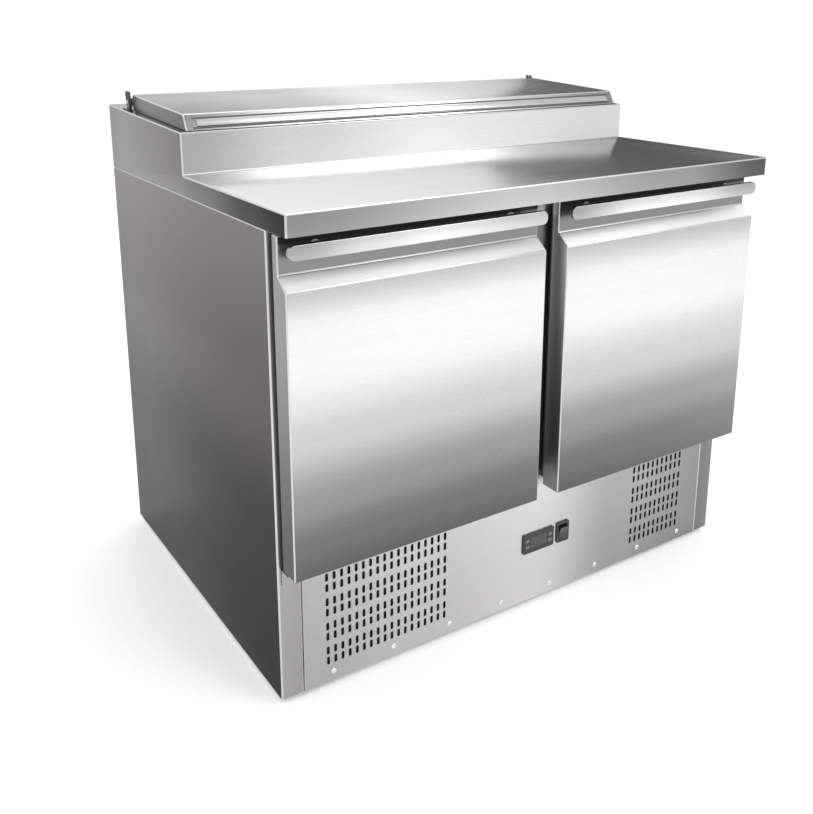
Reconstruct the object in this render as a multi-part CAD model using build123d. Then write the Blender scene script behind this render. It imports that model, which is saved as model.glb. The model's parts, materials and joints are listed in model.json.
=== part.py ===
from build123d import *

import os
from math import radians, tan

# Sandwich prep table, built in millimetres. The origin is on the floor under the middle of the
# whole outline; +X is the user's right, -Y is the door side, +Z is up.

# ---- driving dimensions -------------------------------------------------------------------
width = 900.0                # across the cabinet sides
body_depth = 640.0           # from the back panel to the face of the door frame
overhang = 60.0              # how far the worktop stands in front of the door frame
foot_height = 8.0            # glides under the base
seam_height = 700.0          # top of the side panels, underside of the worktop
worktop_thickness = 30.0
hood_depth = 355.0           # raised pan housing, measured from the back
rim_front_height = 794.0     # top of the pan housing at its front
rim_rise = 16.0              # how much higher the rim is at the back
sheet = 1.2                  # folded stainless sheet
clear = 0.3                  # gap left between pieces that move past each other

# base and rear of the machine compartment
glide_radius = 20.0
glide_chamfer = 2.0
glide_stud = 4.0
glide_stud_length = 12.0
glide_inset = 70.0
nut_radius = 7.0
nut_height = 6.0
vent_length = 70.0
vent_height = 6.0
vent_rows = 8
vent_row_pitch = 16.0
vent_first_row = 40.0        # above the underside of the base
vent_columns = 6
vent_column_pitch = 90.0
vent_first_column = -320.0
inlet_x = 330.0
inlet_z = 60.0
inlet_flange_width = 58.0
inlet_flange_height = 32.0
inlet_body_width = 47.0
inlet_body_height = 23.0
inlet_body_depth = 26.0
inlet_socket_width = 26.0
inlet_socket_height = 16.0
inlet_socket_depth = 16.0
inlet_pin_pitch = 7.0
inlet_pin_width = 2.0
inlet_pin_height = 6.0
inlet_pin_tip = 3.0          # pin ends behind the outer face

# insulated box
flange_width = 36.0          # front flange of each side panel, and the depth of the wall behind it
back_wall = 45.0
liner_sheet = 1.0
box_floor_height = 205.0     # underside of the insulated floor
floor_thickness = 40.0
rail_depth = 40.0            # front rails and mullion, front to back
mullion_width = 76.0
top_rail_height = 32.0
kick_top = 218.0             # upper edge of the kick panel

# doors
door_side_gap = 4.5          # from the cabinet side to the door edge
door_centre_gap = 41.0       # between the two doors
door_bottom = 221.0
door_top_gap = 4.0           # under the worktop
door_thickness = 35.0
gasket_thickness = 9.7
gasket_width = 12.0
gasket_inset = 15.5          # door edge to gasket edge at the hinge side
gasket_low = 11.0            # door edge to gasket edge at the top and bottom
gasket_free = 4.5            # door edge to gasket edge at the free side
recess_depth = 22.0          # hand recess behind the handle bar
recess_height = 52.0         # from the top of the door to the bottom of the recess wall
chamfer_rise = 18.0          # sloped band between the door face and the recess
door_sheet = 1.0
inner_panel_rise = 8.0
inner_panel_gap = 4.0        # from the gasket to the raised middle
inner_panel_chamfer = 3.0
handle_width = 21.0
handle_corner = 9.0
handle_thickness = 8.0
handle_drop = 8.5            # under the top edge of the door
handle_proud = 5.0           # in front of the door face
handle_end_gap = 3.5
handle_post_radius = 6.0
handle_post_inset = 50.0
pivot_inset = 13.5           # door edge to hinge axis
pivot_back = 6.5             # rear of the door skin to hinge axis
pin_radius = 3.0
pin_length = 14.0
running_fit = 0.06
bush_radius = 5.0
bush_length = 16.0
hinge_plate = 3.0
hinge_plate_width = 26.0
hinge_plate_margin = 1.5     # in front of the bush
hinge_drop = 2.0             # lower hinge plate under the door
hinge_tail = 24.0            # downward tail of the lower hinge plate

# lid
lid_side_gap = 12.0          # rim left showing at each end
lid_front_slope = 14.0       # how far the front flange leans back
lid_front_height = 24.0      # above the rim at the front
lid_rear_height = 27.0       # above the rim at the back
lid_length = 250.0           # front edge to rear edge
lid_seat_gap = 0.4
rim_flange = 22.0
roof_gap = 2.0               # from the lid to the fixed strip behind it
pull_strip_inset = 18.0
pull_strip_low = 7.0         # above the rim
pull_strip_height = 9.0
lid_ear_low = 8.0            # half height of an ear at the lid
lid_ear_high = 5.0           # half height of an ear at the pin
lid_panel_lift = 2.0         # underside of the lid lining above the rim
lid_pivot_behind = 12.0      # behind the rear edge of the lid
lid_pivot_above = 14.0       # above the rim
lid_pin_radius = 3.0
lid_pin_length = 9.5
lid_peg = 4.5
lid_peg_half = 7.0           # half the front-to-back size of a pair of pegs
lid_peg_lean = 0.22
lid_peg_top = 17.0           # how far the pegs stand above the lid pivot
lid_peg_foot = 2.0
lid_peg_foot_reach = 8.0
lid_peg_foot_side = 4.0

# pans
pan_count = 5
pan_width = 162.0
pan_length = 176.0
pan_depth = 150.0
pan_pitch = 165.0
pan_sheet = 1.0
pan_lip = 12.0
pan_taper = 5.0
pan_corner = 14.0            # corner radius of the well
pan_rim_corner = 16.0
pan_hole_room = 1.0          # around each well in the pan deck
pan_deck_drop = 7.0          # pan deck under the front rim
pan_deck_sheet = 2.0
pan_front = 29.0             # hood front to the first edge of the pans

# kick panel
slot_width = 5.0
slot_height = 13.0
slot_pair_pitch = 17.0
slot_group_pitch = 40.0
slot_first_row = 45.0        # middle of the lowest slots
slot_groups = 4
left_grille_start = -374.0
left_grille_columns = 18
left_grille_pitch = 12.2
right_grille_start = 243.0
right_grille_columns = 11
right_grille_pitch = 11.7
kick_screw_count = 8
kick_screw_pitch = 104.5
kick_screw_height = 25.0
kick_screw_radius = 4.5
kick_screw_shank = 2.0
kick_screw_length = 10.0
screw_head = 2.2
screw_crown = 1.6
screw_drive = 5.0
screw_drive_width = 0.9
screw_drive_floor = 1.2
tray_edge = 27.0             # turned-up edge of the base
controls_height = 115.5
controller_middle = 23.0
controller_width = 66.0
controller_height = 35.0
controller_body_depth = 55.0
bezel = 2.5
lens_width = 34.0
lens_height = 18.0
button_width = 8.0
button_height = 6.0
button_travel = 0.8
button_rounding = 0.5
button_depth = 3.5
button_edge = 8.5            # bezel edge to the middle of a key
button_rise = 5.5            # middle of the controller to the middle of a key
window_floor = 0.8           # floor of the window recess in front of the panel
bezel_corner = 3.0
controller_lip = 3.5         # how far the bezel stands over the body
panel_cut_lip = 3.0          # how far the bezel stands over the cut in the panel
rocker_middle = 76.5
rocker_frame_width = 27.0
rocker_frame_height = 37.0
rocker_width = 17.0
rocker_height = 27.0
rocker_tilt = 8.0
rocker_swing_room = 1.8
rocker_body_depth = 22.0
rocker_lip = 2.3
rocker_cut_lip = 2.0
rocker_side_room = 0.5
rocker_back_wall = 3.0
rocker_stub_radius = 2.0
rocker_stub_reach = 2.0
rocker_axis_depth = 5.0      # behind the panel face
rocker_nose = 1.0            # in front of the bezel

# machine compartment
compressor_middle = (190.0, 60.0)
compressor_radius = 75.0
compressor_height = 160.0
grommet_height = 10.0
grommet_radius = 11.0
compressor_foot = 3.0
compressor_crown = 38.0
foot_hole_radius = 5.0
foot_hole_inset = 8.0
foot_plate_margin = 6.0
foot_plate_corner = 12.0
terminal_box = (26.0, 56.0, 50.0)
terminal_box_low = 45.0
terminal_box_sink = 12.0     # how far it reaches into the can
grommet_bolt_radius = 4.7
grommet_head_radius = 8.0
grommet_head = 3.0
coil_width = 200.0
coil_height = 165.0
coil_depth = 50.0
coil_fins = 34
coil_gap = 18.0              # behind the kick panel
shroud_depth = 24.0
condenser_fan_radius = 66.0
evaporator_fan_radius = 52.0
fan_blade = 1.6
fan_depth = 14.0
motor_radius = 27.0
motor_length = 34.0
motor_rounding = 5.0
shaft_radius = 3.0
fan_hub_radius = 17.0
fan_root = 12.0              # fan middle to the root of a blade
fan_blades = 5
blade_width = 30.0
blade_pitch = 32.0
fan_mouth_room = 4.0
bridge_width = 16.0
bridge_sheet = 2.0
bridge_gap = 5.0
bridge_inset = 4.0
coil_rows = 6
fin_sheet = 1.2
coil_end_plate = 2.0
coil_pipe_radius = 3.5
coil_pipe_reach = 6.0
tray_size = (200.0, 150.0, 32.0)
tray_wall = 2.0
tray_from_back = 60.0
line_radius = 3.0            # discharge and liquid lines
capillary_radius = 2.0
suction_radius = 4.0
drier_radius = 10.0
drier_length = 90.0
line_step = 40.0             # liquid line beside the coil
suction_height = 70.0        # suction stub above the base

# inside the cold box
shelf_height = 430.0
shelf_gap = 4.0
shelf_wire = 1.6
shelf_frame = 3.0
shelf_wire_count = 12
clip_reach = 12.0
clip_width = 16.0
clip_height = 10.0
evaporator_width = 380.0
evaporator_height = 190.0
evaporator_depth = 82.0
evaporator_bottom = 475.0
evaporator_fan_gap = 4.0
evaporator_fins = 40
evaporator_rows = 5
evaporator_coil_side = 24.0  # coil inside the cover at each end
evaporator_coil_inset = 12.0
guard_slot_length = 60.0
guard_slot_height = 5.0
guard_rows = 9
guard_row_pitch = 12.0
guard_columns = (-140.0, -33.0, 33.0, 140.0)

# ---- values worked out from the sizes above --------------------------------------------------
half = width / 2
back = (body_depth + overhang) / 2
face = back - body_depth
worktop_front = face - overhang
hood_front = back - hood_depth
worktop_top = seam_height + worktop_thickness
base = foot_height
rim_rear_height = rim_front_height + rim_rise
rim_slope = rim_rise / hood_depth
wall_inner = half - flange_width
box_side = wall_inner - liner_sheet
box_back = back - sheet - back_wall
box_floor = box_floor_height + floor_thickness
door_rear = face - gasket_thickness - clear
door_front = door_rear - door_thickness
door_outer = half - door_side_gap
door_inner = door_centre_gap / 2
door_top = seam_height - door_top_gap
recess_wall = door_front + recess_depth
recess_bottom = door_top - recess_height
pivot_x = door_outer - pivot_inset
pivot_y = door_rear - pivot_back
lid_half = half - lid_side_gap
lid_front = hood_front + 5.0
lid_rear = lid_front + lid_length
lid_pivot_y = lid_rear + lid_pivot_behind
opening_half = half - sheet - rim_flange
pan_deck_top = rim_front_height - pan_deck_drop
pan_y = hood_front + pan_front
pan_rim = pan_deck_top + pan_sheet
pan_bottom = pan_rim - pan_depth
rocker_axis_y = face + rocker_axis_depth
coil_middle = left_grille_start + left_grille_pitch * (left_grille_columns - 1) / 2
coil_front = face + sheet + coil_gap
coil_low = base + sheet
coil_mid_z = coil_low + coil_height / 2
coil_back = coil_front + coil_depth
condenser_fan_y = coil_back + shroud_depth - sheet + fan_depth / 2 + 1
bridge_y = coil_back + shroud_depth + fan_depth + bridge_gap
condenser_motor_y = bridge_y + bridge_sheet
evaporator_front = box_back - evaporator_depth
evaporator_top = evaporator_bottom + evaporator_height
evaporator_mid_z = evaporator_bottom + evaporator_height / 2
evaporator_fan_y = evaporator_front + evaporator_fan_gap + fan_depth / 2
evaporator_motor_y = evaporator_fan_y + fan_depth / 2 + evaporator_fan_gap
evaporator_coil_front = evaporator_motor_y + motor_length
shelf_inner = mullion_width / 2 + shelf_gap
shelf_outer = box_side - shelf_gap
shelf_front = face + rail_depth + shelf_gap
shelf_back = box_back - shelf_gap


def rim(y):
    """Height of the sloping rim of the pan housing at a distance y."""
    return rim_front_height + (y - hood_front) * rim_slope


lid_pivot_z = rim(lid_pivot_y) + lid_pivot_above


def block(x0, x1, y0, y1, z0, z1):
    """A box between two corners."""
    solid = Box(abs(x1 - x0), abs(y1 - y0), abs(z1 - z0))
    return Pos((x0 + x1) / 2, (y0 + y1) / 2, (z0 + z1) / 2) * solid


def side_prism(points, x0, x1):
    """A prism along X from an outline given as (y, z) points."""
    outline = make_face(Polyline([(0, y, z) for y, z in points], close=True))
    return Pos(x0, 0, 0) * extrude(outline, amount=x1 - x0, dir=(1, 0, 0))


def plan_prism(points, z0, z1):
    """A prism along Z from an outline given as (x, y) points."""
    outline = make_face(Polyline([(x, y, 0) for x, y in points], close=True))
    return Pos(0, 0, z0) * extrude(outline, amount=z1 - z0, dir=(0, 0, 1))


def rod(start, end, radius):
    """A round rod between two points."""
    path = Line(start, end)
    return sweep(Plane(origin=start, z_dir=path % 0) * Circle(radius), path=path)


def tube(points, bend, radius):
    """A pipe along straight runs joined by round bends."""
    path = FilletPolyline(*points, radius=bend)
    return sweep(Plane(origin=path @ 0, z_dir=path % 0) * Circle(radius), path=path)


def both_sides(shape):
    """A piece and its mirror image across the middle of the table."""
    return [shape, mirror(shape, about=Plane.YZ)]


def save(name, solids):
    """Write one named node, a single solid or a group of separate solids."""
    shapes = solids if isinstance(solids, list) else [solids]
    flat = [solid for shape in shapes for solid in shape.solids()]
    export_step(flat[0] if len(flat) == 1 else Compound(children=flat), f"parts/{name}.step")


# ---- outer casing ----------------------------------------------------------------------------
def left_side_panel():
    """Folded sheet: flat side, front flange and rear flange."""
    x = -half
    outline = [
        (x, face), (x + flange_width, face), (x + flange_width, face + sheet), (x + sheet, face + sheet),
        (x + sheet, back - sheet), (x + flange_width, back - sheet), (x + flange_width, back), (x, back),
    ]
    return plan_prism(outline, base, seam_height)


def back_panel():
    """Flat sheet between the rear flanges, up to the rim of the pan housing."""
    x = wall_inner - clear
    lower = block(-x, x, back - sheet, back, box_floor_height, seam_height)
    x = half - sheet
    upper = block(-x, x, back - sheet, back, seam_height, rim(back) - sheet - clear)
    return lower + upper


def centred(x, z, wide, high, y0, y1):
    """A box around a point of a vertical face."""
    return block(x - wide / 2, x + wide / 2, y0, y1, z - high / 2, z + high / 2)


def rear_grille():
    """Vented cover over the back of the machine compartment."""
    x = wall_inner - clear
    y = back - 2 * sheet
    plate = block(-x, x, y, y + sheet, base + sheet + clear, box_floor_height - clear)
    slot = Rot(90, 0, 0) * extrude(SlotOverall(vent_length, vent_height), amount=sheet * 2, both=True)
    rows = [base + vent_first_row + vent_row_pitch * row for row in range(vent_rows)]
    columns = [vent_first_column + vent_column_pitch * column for column in range(vent_columns)]
    vents = [Pos(column, y, row) * slot for row in rows for column in columns]
    hole_width = inlet_body_width + 1
    hole_height = inlet_body_height + 1
    hole = centred(inlet_x, inlet_z, hole_width, hole_height, y - 1, y + sheet + 1)
    return plate - vents - hole


def power_inlet():
    """Appliance inlet in the rear cover: flange, body and three pins."""
    y = back - 2 * sheet
    flange = centred(inlet_x, inlet_z, inlet_flange_width, inlet_flange_height, y + sheet, back)
    body = centred(
        inlet_x, inlet_z, inlet_body_width, inlet_body_height, y - inlet_body_depth, y + sheet
    )
    floor_y = y - inlet_socket_depth
    socket = centred(inlet_x, inlet_z, inlet_socket_width, inlet_socket_height, floor_y, back + 1)
    pins = [
        centred(inlet_x + side, inlet_z, inlet_pin_width, inlet_pin_height, floor_y - 1, y - inlet_pin_tip)
        for side in (-inlet_pin_pitch, 0, inlet_pin_pitch)
    ]
    return flange + body - socket + pins


def base_tray():
    """Bottom sheet with turned-up edges, drilled for the glides."""
    x = half - sheet - clear
    y0 = face + sheet + clear
    y1 = back - 2 * sheet - clear
    tray = block(-x, x, y0, y1, base, base + tray_edge)
    tray -= block(-x + sheet, x - sheet, y0 + sheet, y1 - sheet, base + sheet, base + tray_edge + 1)
    tray -= [Pos(gx, gy, base) * Cylinder(glide_stud + clear, 8) for gx, gy in glide_places()]
    screw_hole = Rot(90, 0, 0) * Cylinder(kick_screw_shank, 8)
    return tray - [Pos(place, y0, kick_screw_height) * screw_hole for place in screw_places()]


def glide_places():
    """Where the four glides stand."""
    xs = (-half + glide_inset, half - glide_inset)
    return [(x, y) for x in xs for y in (face + glide_inset, back - glide_inset)]


def glides():
    """Low round glides with a stud and nut through the base."""
    pieces = []
    for x, y in glide_places():
        foot = Pos(x, y, 0) * extrude(Circle(glide_radius), amount=foot_height)
        foot = chamfer(foot.edges().group_by(Axis.Z)[0], glide_chamfer)
        foot += Pos(x, y, foot_height) * extrude(Circle(glide_stud), amount=glide_stud_length)
        nut = RegularPolygon(nut_radius, 6) - Circle(glide_stud)
        nut = extrude(nut, amount=nut_height)
        pieces.append(foot)
        pieces.append(Pos(x, y, base + sheet) * nut)
    return pieces


def insulation():
    """Foam in the two sides, the back and the floor, and the board inside the worktop."""
    z0 = box_floor_height
    front = face + sheet
    side = block(wall_inner, half - sheet, front, back - sheet, z0, seam_height)
    rear = block(-wall_inner, wall_inner, box_back + liner_sheet, back - sheet, z0, seam_height)
    floor_front = face + rail_depth
    floor = block(-wall_inner, wall_inner, floor_front, box_back + liner_sheet, z0, box_floor - liner_sheet)
    board_x = half - 2 * sheet
    board = block(
        -board_x, board_x, worktop_front + sheet, hood_front - sheet, seam_height, worktop_top - sheet
    )
    return both_sides(side) + [rear, floor, board]


def inner_liner():
    """Flat lining sheets of the cold box: two sides, back and floor."""
    front = face + sheet
    side = block(box_side, wall_inner, front, box_back, box_floor - liner_sheet, seam_height)
    rear = block(
        -wall_inner, wall_inner, box_back, box_back + liner_sheet, box_floor - liner_sheet, seam_height
    )
    y0 = face + rail_depth
    floor = block(-box_side, box_side, y0, box_back, box_floor - liner_sheet, box_floor)
    return both_sides(side) + [rear, floor]


def top_rail():
    """Foam-filled front rail under the worktop."""
    return block(-box_side, box_side, face, face + rail_depth, seam_height - top_rail_height, seam_height)


def sill_rail():
    """Foam-filled front rail under the doors."""
    upper = block(-box_side, box_side, face, face + rail_depth, kick_top + clear, box_floor)
    y0 = face + 2 * sheet
    lower = block(-box_side, box_side, y0, face + rail_depth, box_floor_height, kick_top + clear)
    return upper + lower


def centre_mullion():
    """Upright between the two door openings."""
    x = mullion_width / 2
    return block(-x, x, face, face + rail_depth, box_floor, seam_height - top_rail_height)


# ---- worktop and pan housing -----------------------------------------------------------------
def worktop():
    """Flat top sheet with folded front, rear and end edges."""
    x = half - sheet
    slab = block(-x, x, worktop_front, hood_front, seam_height, worktop_top)
    inside = block(
        -x + sheet, x - sheet, worktop_front + sheet, hood_front - sheet, seam_height - 1, worktop_top - sheet
    )
    return slab - inside


def hood_cheeks():
    """L-shaped end plates, one flush face from the worktop edge up to the rim, with a top flange."""
    outline = [
        (worktop_front, seam_height), (back, seam_height), (back, rim(back)), (hood_front, rim(hood_front)),
        (hood_front, worktop_top), (worktop_front, worktop_top),
    ]
    cheek = side_prism(outline, half - sheet, half)
    flange = [
        (hood_front, rim(hood_front)), (back, rim(back)),
        (back, rim(back) - sheet), (hood_front, rim(hood_front) - sheet),
    ]
    cheek += side_prism(flange, half - sheet - rim_flange, half - sheet)
    return both_sides(cheek)


def hood_front_panel():
    """Front wall of the pan housing with its top flange."""
    y1 = hood_front + rim_flange
    outline = [
        (hood_front, worktop_top), (hood_front, rim(hood_front)), (y1, rim(y1)), (y1, rim(y1) - sheet),
        (hood_front + sheet, rim(hood_front + sheet) - sheet), (hood_front + sheet, worktop_top),
    ]
    x = half - sheet - rim_flange
    wall = side_prism(outline, -x, x)
    y2 = hood_front + sheet
    end = block(x, half - sheet, hood_front, y2, worktop_top, rim(hood_front) - sheet)
    return [wall + both_sides(end)]


def hood_roof():
    """Fixed strip behind the lid."""
    y0 = lid_rear + roof_gap
    outline = [(y0, rim(y0)), (back, rim(back)), (back, rim(back) - sheet), (y0, rim(y0) - sheet)]
    return side_prism(outline, -opening_half, opening_half)


def pan_places():
    """Middle of each pan across the table."""
    return [(index - (pan_count - 1) / 2) * pan_pitch for index in range(pan_count)]


def pan_deck():
    """Ledge plate that carries the rims of the pans, fixed between the front wall and the back."""
    z0 = pan_deck_top - pan_deck_sheet
    x = half - sheet
    plate = block(-x, x, hood_front + sheet, back - sheet, z0, pan_deck_top)
    cut_x = pan_width / 2 - pan_lip + pan_hole_room
    y0 = pan_y + pan_lip - pan_hole_room
    y1 = pan_y + pan_length - pan_lip + pan_hole_room
    return plate - [block(x - cut_x, x + cut_x, y0, y1, z0 - 1, pan_deck_top + 1) for x in pan_places()]


def pan(x):
    """One removable food pan: flat rim and a tapered well."""
    middle = pan_y + pan_length / 2
    well_x = pan_width - 2 * pan_lip
    well_y = pan_length - 2 * pan_lip

    def well(inset, low, high):
        top_x = well_x - 2 * inset
        top_y = well_y - 2 * inset
        top = Pos(0, 0, high) * RectangleRounded(top_x, top_y, pan_corner - inset)
        bottom_x = top_x - 2 * pan_taper
        bottom_y = top_y - 2 * pan_taper
        bottom = Pos(0, 0, low) * RectangleRounded(bottom_x, bottom_y, pan_corner - inset)
        return loft([bottom, top])

    rim_plate = extrude(RectangleRounded(pan_width, pan_length, pan_rim_corner), amount=pan_sheet)
    body = Pos(0, 0, pan_deck_top) * rim_plate + well(0, pan_bottom, pan_rim)
    body -= well(pan_sheet, pan_bottom + pan_sheet, pan_rim + 0.01)
    return Pos(x, middle, 0) * body


# ---- lid -------------------------------------------------------------------------------------
def lid_outline(inset, seat):
    """Side outline of the lid, drawn inside its skin by inset and above the rim by seat."""
    slope = lid_front_slope / lid_front_height
    foot = lid_front + inset + seat * slope
    top = lid_front + inset + (lid_front_height - inset) * slope
    return [
        (foot, rim(foot) + seat), (top, rim(top) + lid_front_height - inset),
        (lid_rear - inset, rim(lid_rear) + lid_rear_height - inset), (lid_rear - inset, rim(lid_rear) + seat),
    ]


def lid_pull_strip():
    """Pull lip along the sloped front of the lid."""
    grip_x = lid_half - pull_strip_inset
    low = rim(lid_front) + pull_strip_low
    high = low + pull_strip_height
    outline = [
        (lid_front + 5, low), (lid_front - 0.5, low + 1), (lid_front + 1.5, high - 1), (lid_front + 9, high),
    ]
    return side_prism(outline, -grip_x, grip_x)


def lid_skin():
    """Folded lid with a sloped front, end walls and two rear ears."""
    shell = side_prism(lid_outline(0, lid_seat_gap), -lid_half, lid_half)
    shell -= side_prism(lid_outline(sheet, -5), -lid_half + sheet, lid_half - sheet)
    shell += lid_pull_strip()
    y0 = lid_rear - sheet
    ear_outline = [
        (y0, lid_pivot_z - lid_ear_low), (lid_pivot_y, lid_pivot_z - lid_ear_high),
        (lid_pivot_y + lid_ear_high, lid_pivot_z),
        (lid_pivot_y, lid_pivot_z + lid_ear_high), (y0, lid_pivot_z + lid_ear_low),
    ]
    ear = side_prism(ear_outline, lid_half - sheet, lid_half)
    pin_x = lid_half - sheet - 2
    pin = Rot(0, 90, 0) * extrude(Circle(lid_pin_radius), amount=lid_pin_length)
    pin = Pos(pin_x, lid_pivot_y, lid_pivot_z) * pin
    return shell + both_sides(ear + pin)


def lid_inner_panel():
    """Insulated inner face of the lid, behind its skin."""
    return side_prism(lid_outline(sheet, lid_panel_lift), -lid_half + sheet, lid_half - sheet)


def lid_hinge_brackets():
    """Slotted pegs at the rear corners that carry the pins of the lid."""
    x0 = lid_half + 2 * clear
    x1 = x0 + lid_peg
    y0 = lid_pivot_y - lid_peg_half
    y1 = lid_pivot_y + lid_peg_half
    top = lid_pivot_z + lid_peg_top
    lean = lid_peg_lean * (lid_pivot_above + lid_peg_top)
    outline = [
        (y0 - lid_peg_lean * lid_pivot_above, rim(y0)), (y1 - lid_peg_lean * lid_pivot_above, rim(y1)),
        (y1 - lid_peg_lean * lid_pivot_above + lean, top), (y0 - lid_peg_lean * lid_pivot_above + lean, top),
    ]
    peg = side_prism(outline, x0, x1)
    seat = lid_pin_radius + running_fit
    rise = lid_peg_top + 2
    slot = [
        (lid_pivot_y - seat, lid_pivot_z), (lid_pivot_y + seat, lid_pivot_z),
        (lid_pivot_y + seat + lid_peg_lean * rise, lid_pivot_z + rise),
        (lid_pivot_y - seat + lid_peg_lean * rise, lid_pivot_z + rise),
    ]
    peg -= side_prism(slot, x0 - 1, x1 + 1)
    peg -= Pos(x0, lid_pivot_y, lid_pivot_z) * Rot(0, 90, 0) * Cylinder(seat, 40)
    foot_y0 = y0 - lid_peg_foot_reach
    foot_y1 = y1 + lid_peg_foot_reach
    foot = side_prism(
        [
            (foot_y0, rim(foot_y0)), (foot_y1, rim(foot_y1)),
            (foot_y1, rim(foot_y1) + lid_peg_foot), (foot_y0, rim(foot_y0) + lid_peg_foot),
        ],
        x0, x1 + lid_peg_foot_side,
    )
    return both_sides(peg + foot)


# ---- doors (drawn on the right, mirrored for the left) ---------------------------------------
def door_outline(inset, rear):
    """Side outline of a door: flat face, sloped band, hand recess."""
    run = (recess_depth ** 2 + chamfer_rise ** 2) ** 0.5
    shift = inset * (1 - chamfer_rise / run) / (recess_depth / run)
    return [
        (door_front + inset, door_bottom + inset), (rear, door_bottom + inset),
        (rear, door_top - inset), (recess_wall + inset, door_top - inset),
        (recess_wall + inset, recess_bottom - shift),
        (door_front + inset, recess_bottom - chamfer_rise - shift),
    ]


def door_bush_bores():
    """Cuts for the two pivot bushes of a door."""
    bore = extrude(Circle(bush_radius), amount=bush_length + 1)
    return [Pos(pivot_x, pivot_y, door_bottom - 1) * bore, Pos(pivot_x, pivot_y, door_top - bush_length) * bore]


def door_skin():
    """Folded outer skin of a door."""
    outer = side_prism(door_outline(0, door_rear), door_inner, door_outer)
    inner = side_prism(
        door_outline(door_sheet, door_rear + 1), door_inner + door_sheet, door_outer - door_sheet
    )
    return outer - inner - door_bush_bores()


def door_inner_panel():
    """Foam-backed inner panel of a door with a raised middle."""
    body = side_prism(
        door_outline(door_sheet, door_rear), door_inner + door_sheet, door_outer - door_sheet
    )
    edge = gasket_inset + gasket_width + inner_panel_gap
    z0 = door_bottom + gasket_low + gasket_width + inner_panel_gap
    z1 = door_top - gasket_low - gasket_width - inner_panel_gap
    raised = block(
        door_inner + edge, door_outer - edge, door_rear, door_rear + inner_panel_rise, z0, z1
    )
    raised = chamfer(raised.edges().group_by(Axis.Y)[-1], inner_panel_chamfer)
    return body + raised - door_bush_bores()


def door_gasket():
    """Magnetic seal around the rear face of a door."""
    x0 = door_inner + gasket_free
    x1 = door_outer - gasket_inset
    z0 = door_bottom + gasket_low
    z1 = door_top - gasket_low
    ring = block(x0, x1, door_rear, door_rear + gasket_thickness, z0, z1)
    w = gasket_width
    return ring - block(x0 + w, x1 - w, door_rear - 1, door_rear + gasket_thickness + 1, z0 + w, z1 - w)


def door_handle():
    """Flat bar with rounded ends on two posts."""
    x0 = door_inner + handle_end_gap
    x1 = door_outer - handle_end_gap
    z1 = door_top - handle_drop
    middle = Pos((x0 + x1) / 2, door_front - handle_proud, z1 - handle_width / 2)
    flat = Rot(90, 0, 0) * RectangleRounded(x1 - x0, handle_width, handle_corner)
    bar = middle * extrude(flat, amount=handle_thickness, dir=(0, 1, 0))
    posts = [
        rod(
            (x, door_front - handle_proud + handle_thickness / 2, z1 - handle_width / 2),
            (x, recess_wall, z1 - handle_width / 2),
            handle_post_radius,
        )
        for x in (x0 + handle_post_inset, x1 - handle_post_inset)
    ]
    return bar + posts


def door_bushes():
    """Plastic bushes for the hinge pins, top and bottom."""
    ring = extrude(Circle(bush_radius) - Circle(pin_radius + running_fit), amount=bush_length)
    low = Pos(pivot_x, pivot_y, door_bottom) * ring
    high = Pos(pivot_x, pivot_y, door_top - bush_length) * ring
    return [low, high]


def door_hinge_brackets():
    """Plates with pins above and below each door."""
    x0 = pivot_x - hinge_plate_width / 2
    x1 = pivot_x + hinge_plate_width / 2
    y0 = pivot_y - bush_radius - hinge_plate_margin
    upper_z = seam_height - hinge_plate
    upper = block(x0, x1, y0, face, upper_z, seam_height)
    pin = Pos(pivot_x, pivot_y, upper_z - pin_length) * extrude(Circle(pin_radius), amount=pin_length + 1)
    lower_z = door_bottom - hinge_drop
    lower = block(x0, x1, y0, face, lower_z - hinge_plate, lower_z)
    lower += block(x0, x1, face - hinge_plate, face, lower_z - hinge_tail, lower_z)
    stud = Pos(pivot_x, pivot_y, lower_z - 1) * extrude(Circle(pin_radius), amount=pin_length + 1)
    return both_sides(upper + pin) + both_sides(lower + stud)


# ---- kick panel and controls -----------------------------------------------------------------
def slot_rows():
    """Heights of the slot rows, in pairs."""
    lows = [slot_first_row + slot_group_pitch * group for group in range(slot_groups)]
    return [low + extra for low in lows for extra in (0, slot_pair_pitch)]


def slot_field(start, columns, pitch):
    """Upright slots of one grille."""
    slot = Rot(0, 0, 90) * SlotOverall(slot_height, slot_width)
    return [Pos(start + pitch * column, row) * slot for row in slot_rows() for column in range(columns)]


def screw_places():
    """Positions of the screws along the bottom of the kick panel."""
    first = -(kick_screw_count - 1) / 2 * kick_screw_pitch
    return [first + kick_screw_pitch * index for index in range(kick_screw_count)]


def kick_panel():
    """Front cover with two slotted grilles, cut for the controller and the switch."""
    x = wall_inner - clear
    z0 = base + 1
    sheet_face = Pos(0, (z0 + kick_top) / 2) * Rectangle(2 * x, kick_top - z0)
    sheet_face -= slot_field(left_grille_start, left_grille_columns, left_grille_pitch)
    sheet_face -= slot_field(right_grille_start, right_grille_columns, right_grille_pitch)
    cut_x = controller_width - 2 * panel_cut_lip
    cut_z = controller_height - 2 * panel_cut_lip
    sheet_face -= Pos(controller_middle, controls_height) * Rectangle(cut_x, cut_z)
    cut_x = rocker_frame_width - 2 * rocker_cut_lip
    cut_z = rocker_frame_height - 2 * rocker_cut_lip
    sheet_face -= Pos(rocker_middle, controls_height) * Rectangle(cut_x, cut_z)
    sheet_face -= [Pos(place, kick_screw_height) * Circle(kick_screw_shank) for place in screw_places()]
    return Pos(0, face, 0) * extrude(Rot(90, 0, 0) * sheet_face, amount=sheet, dir=(0, 1, 0))


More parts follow.
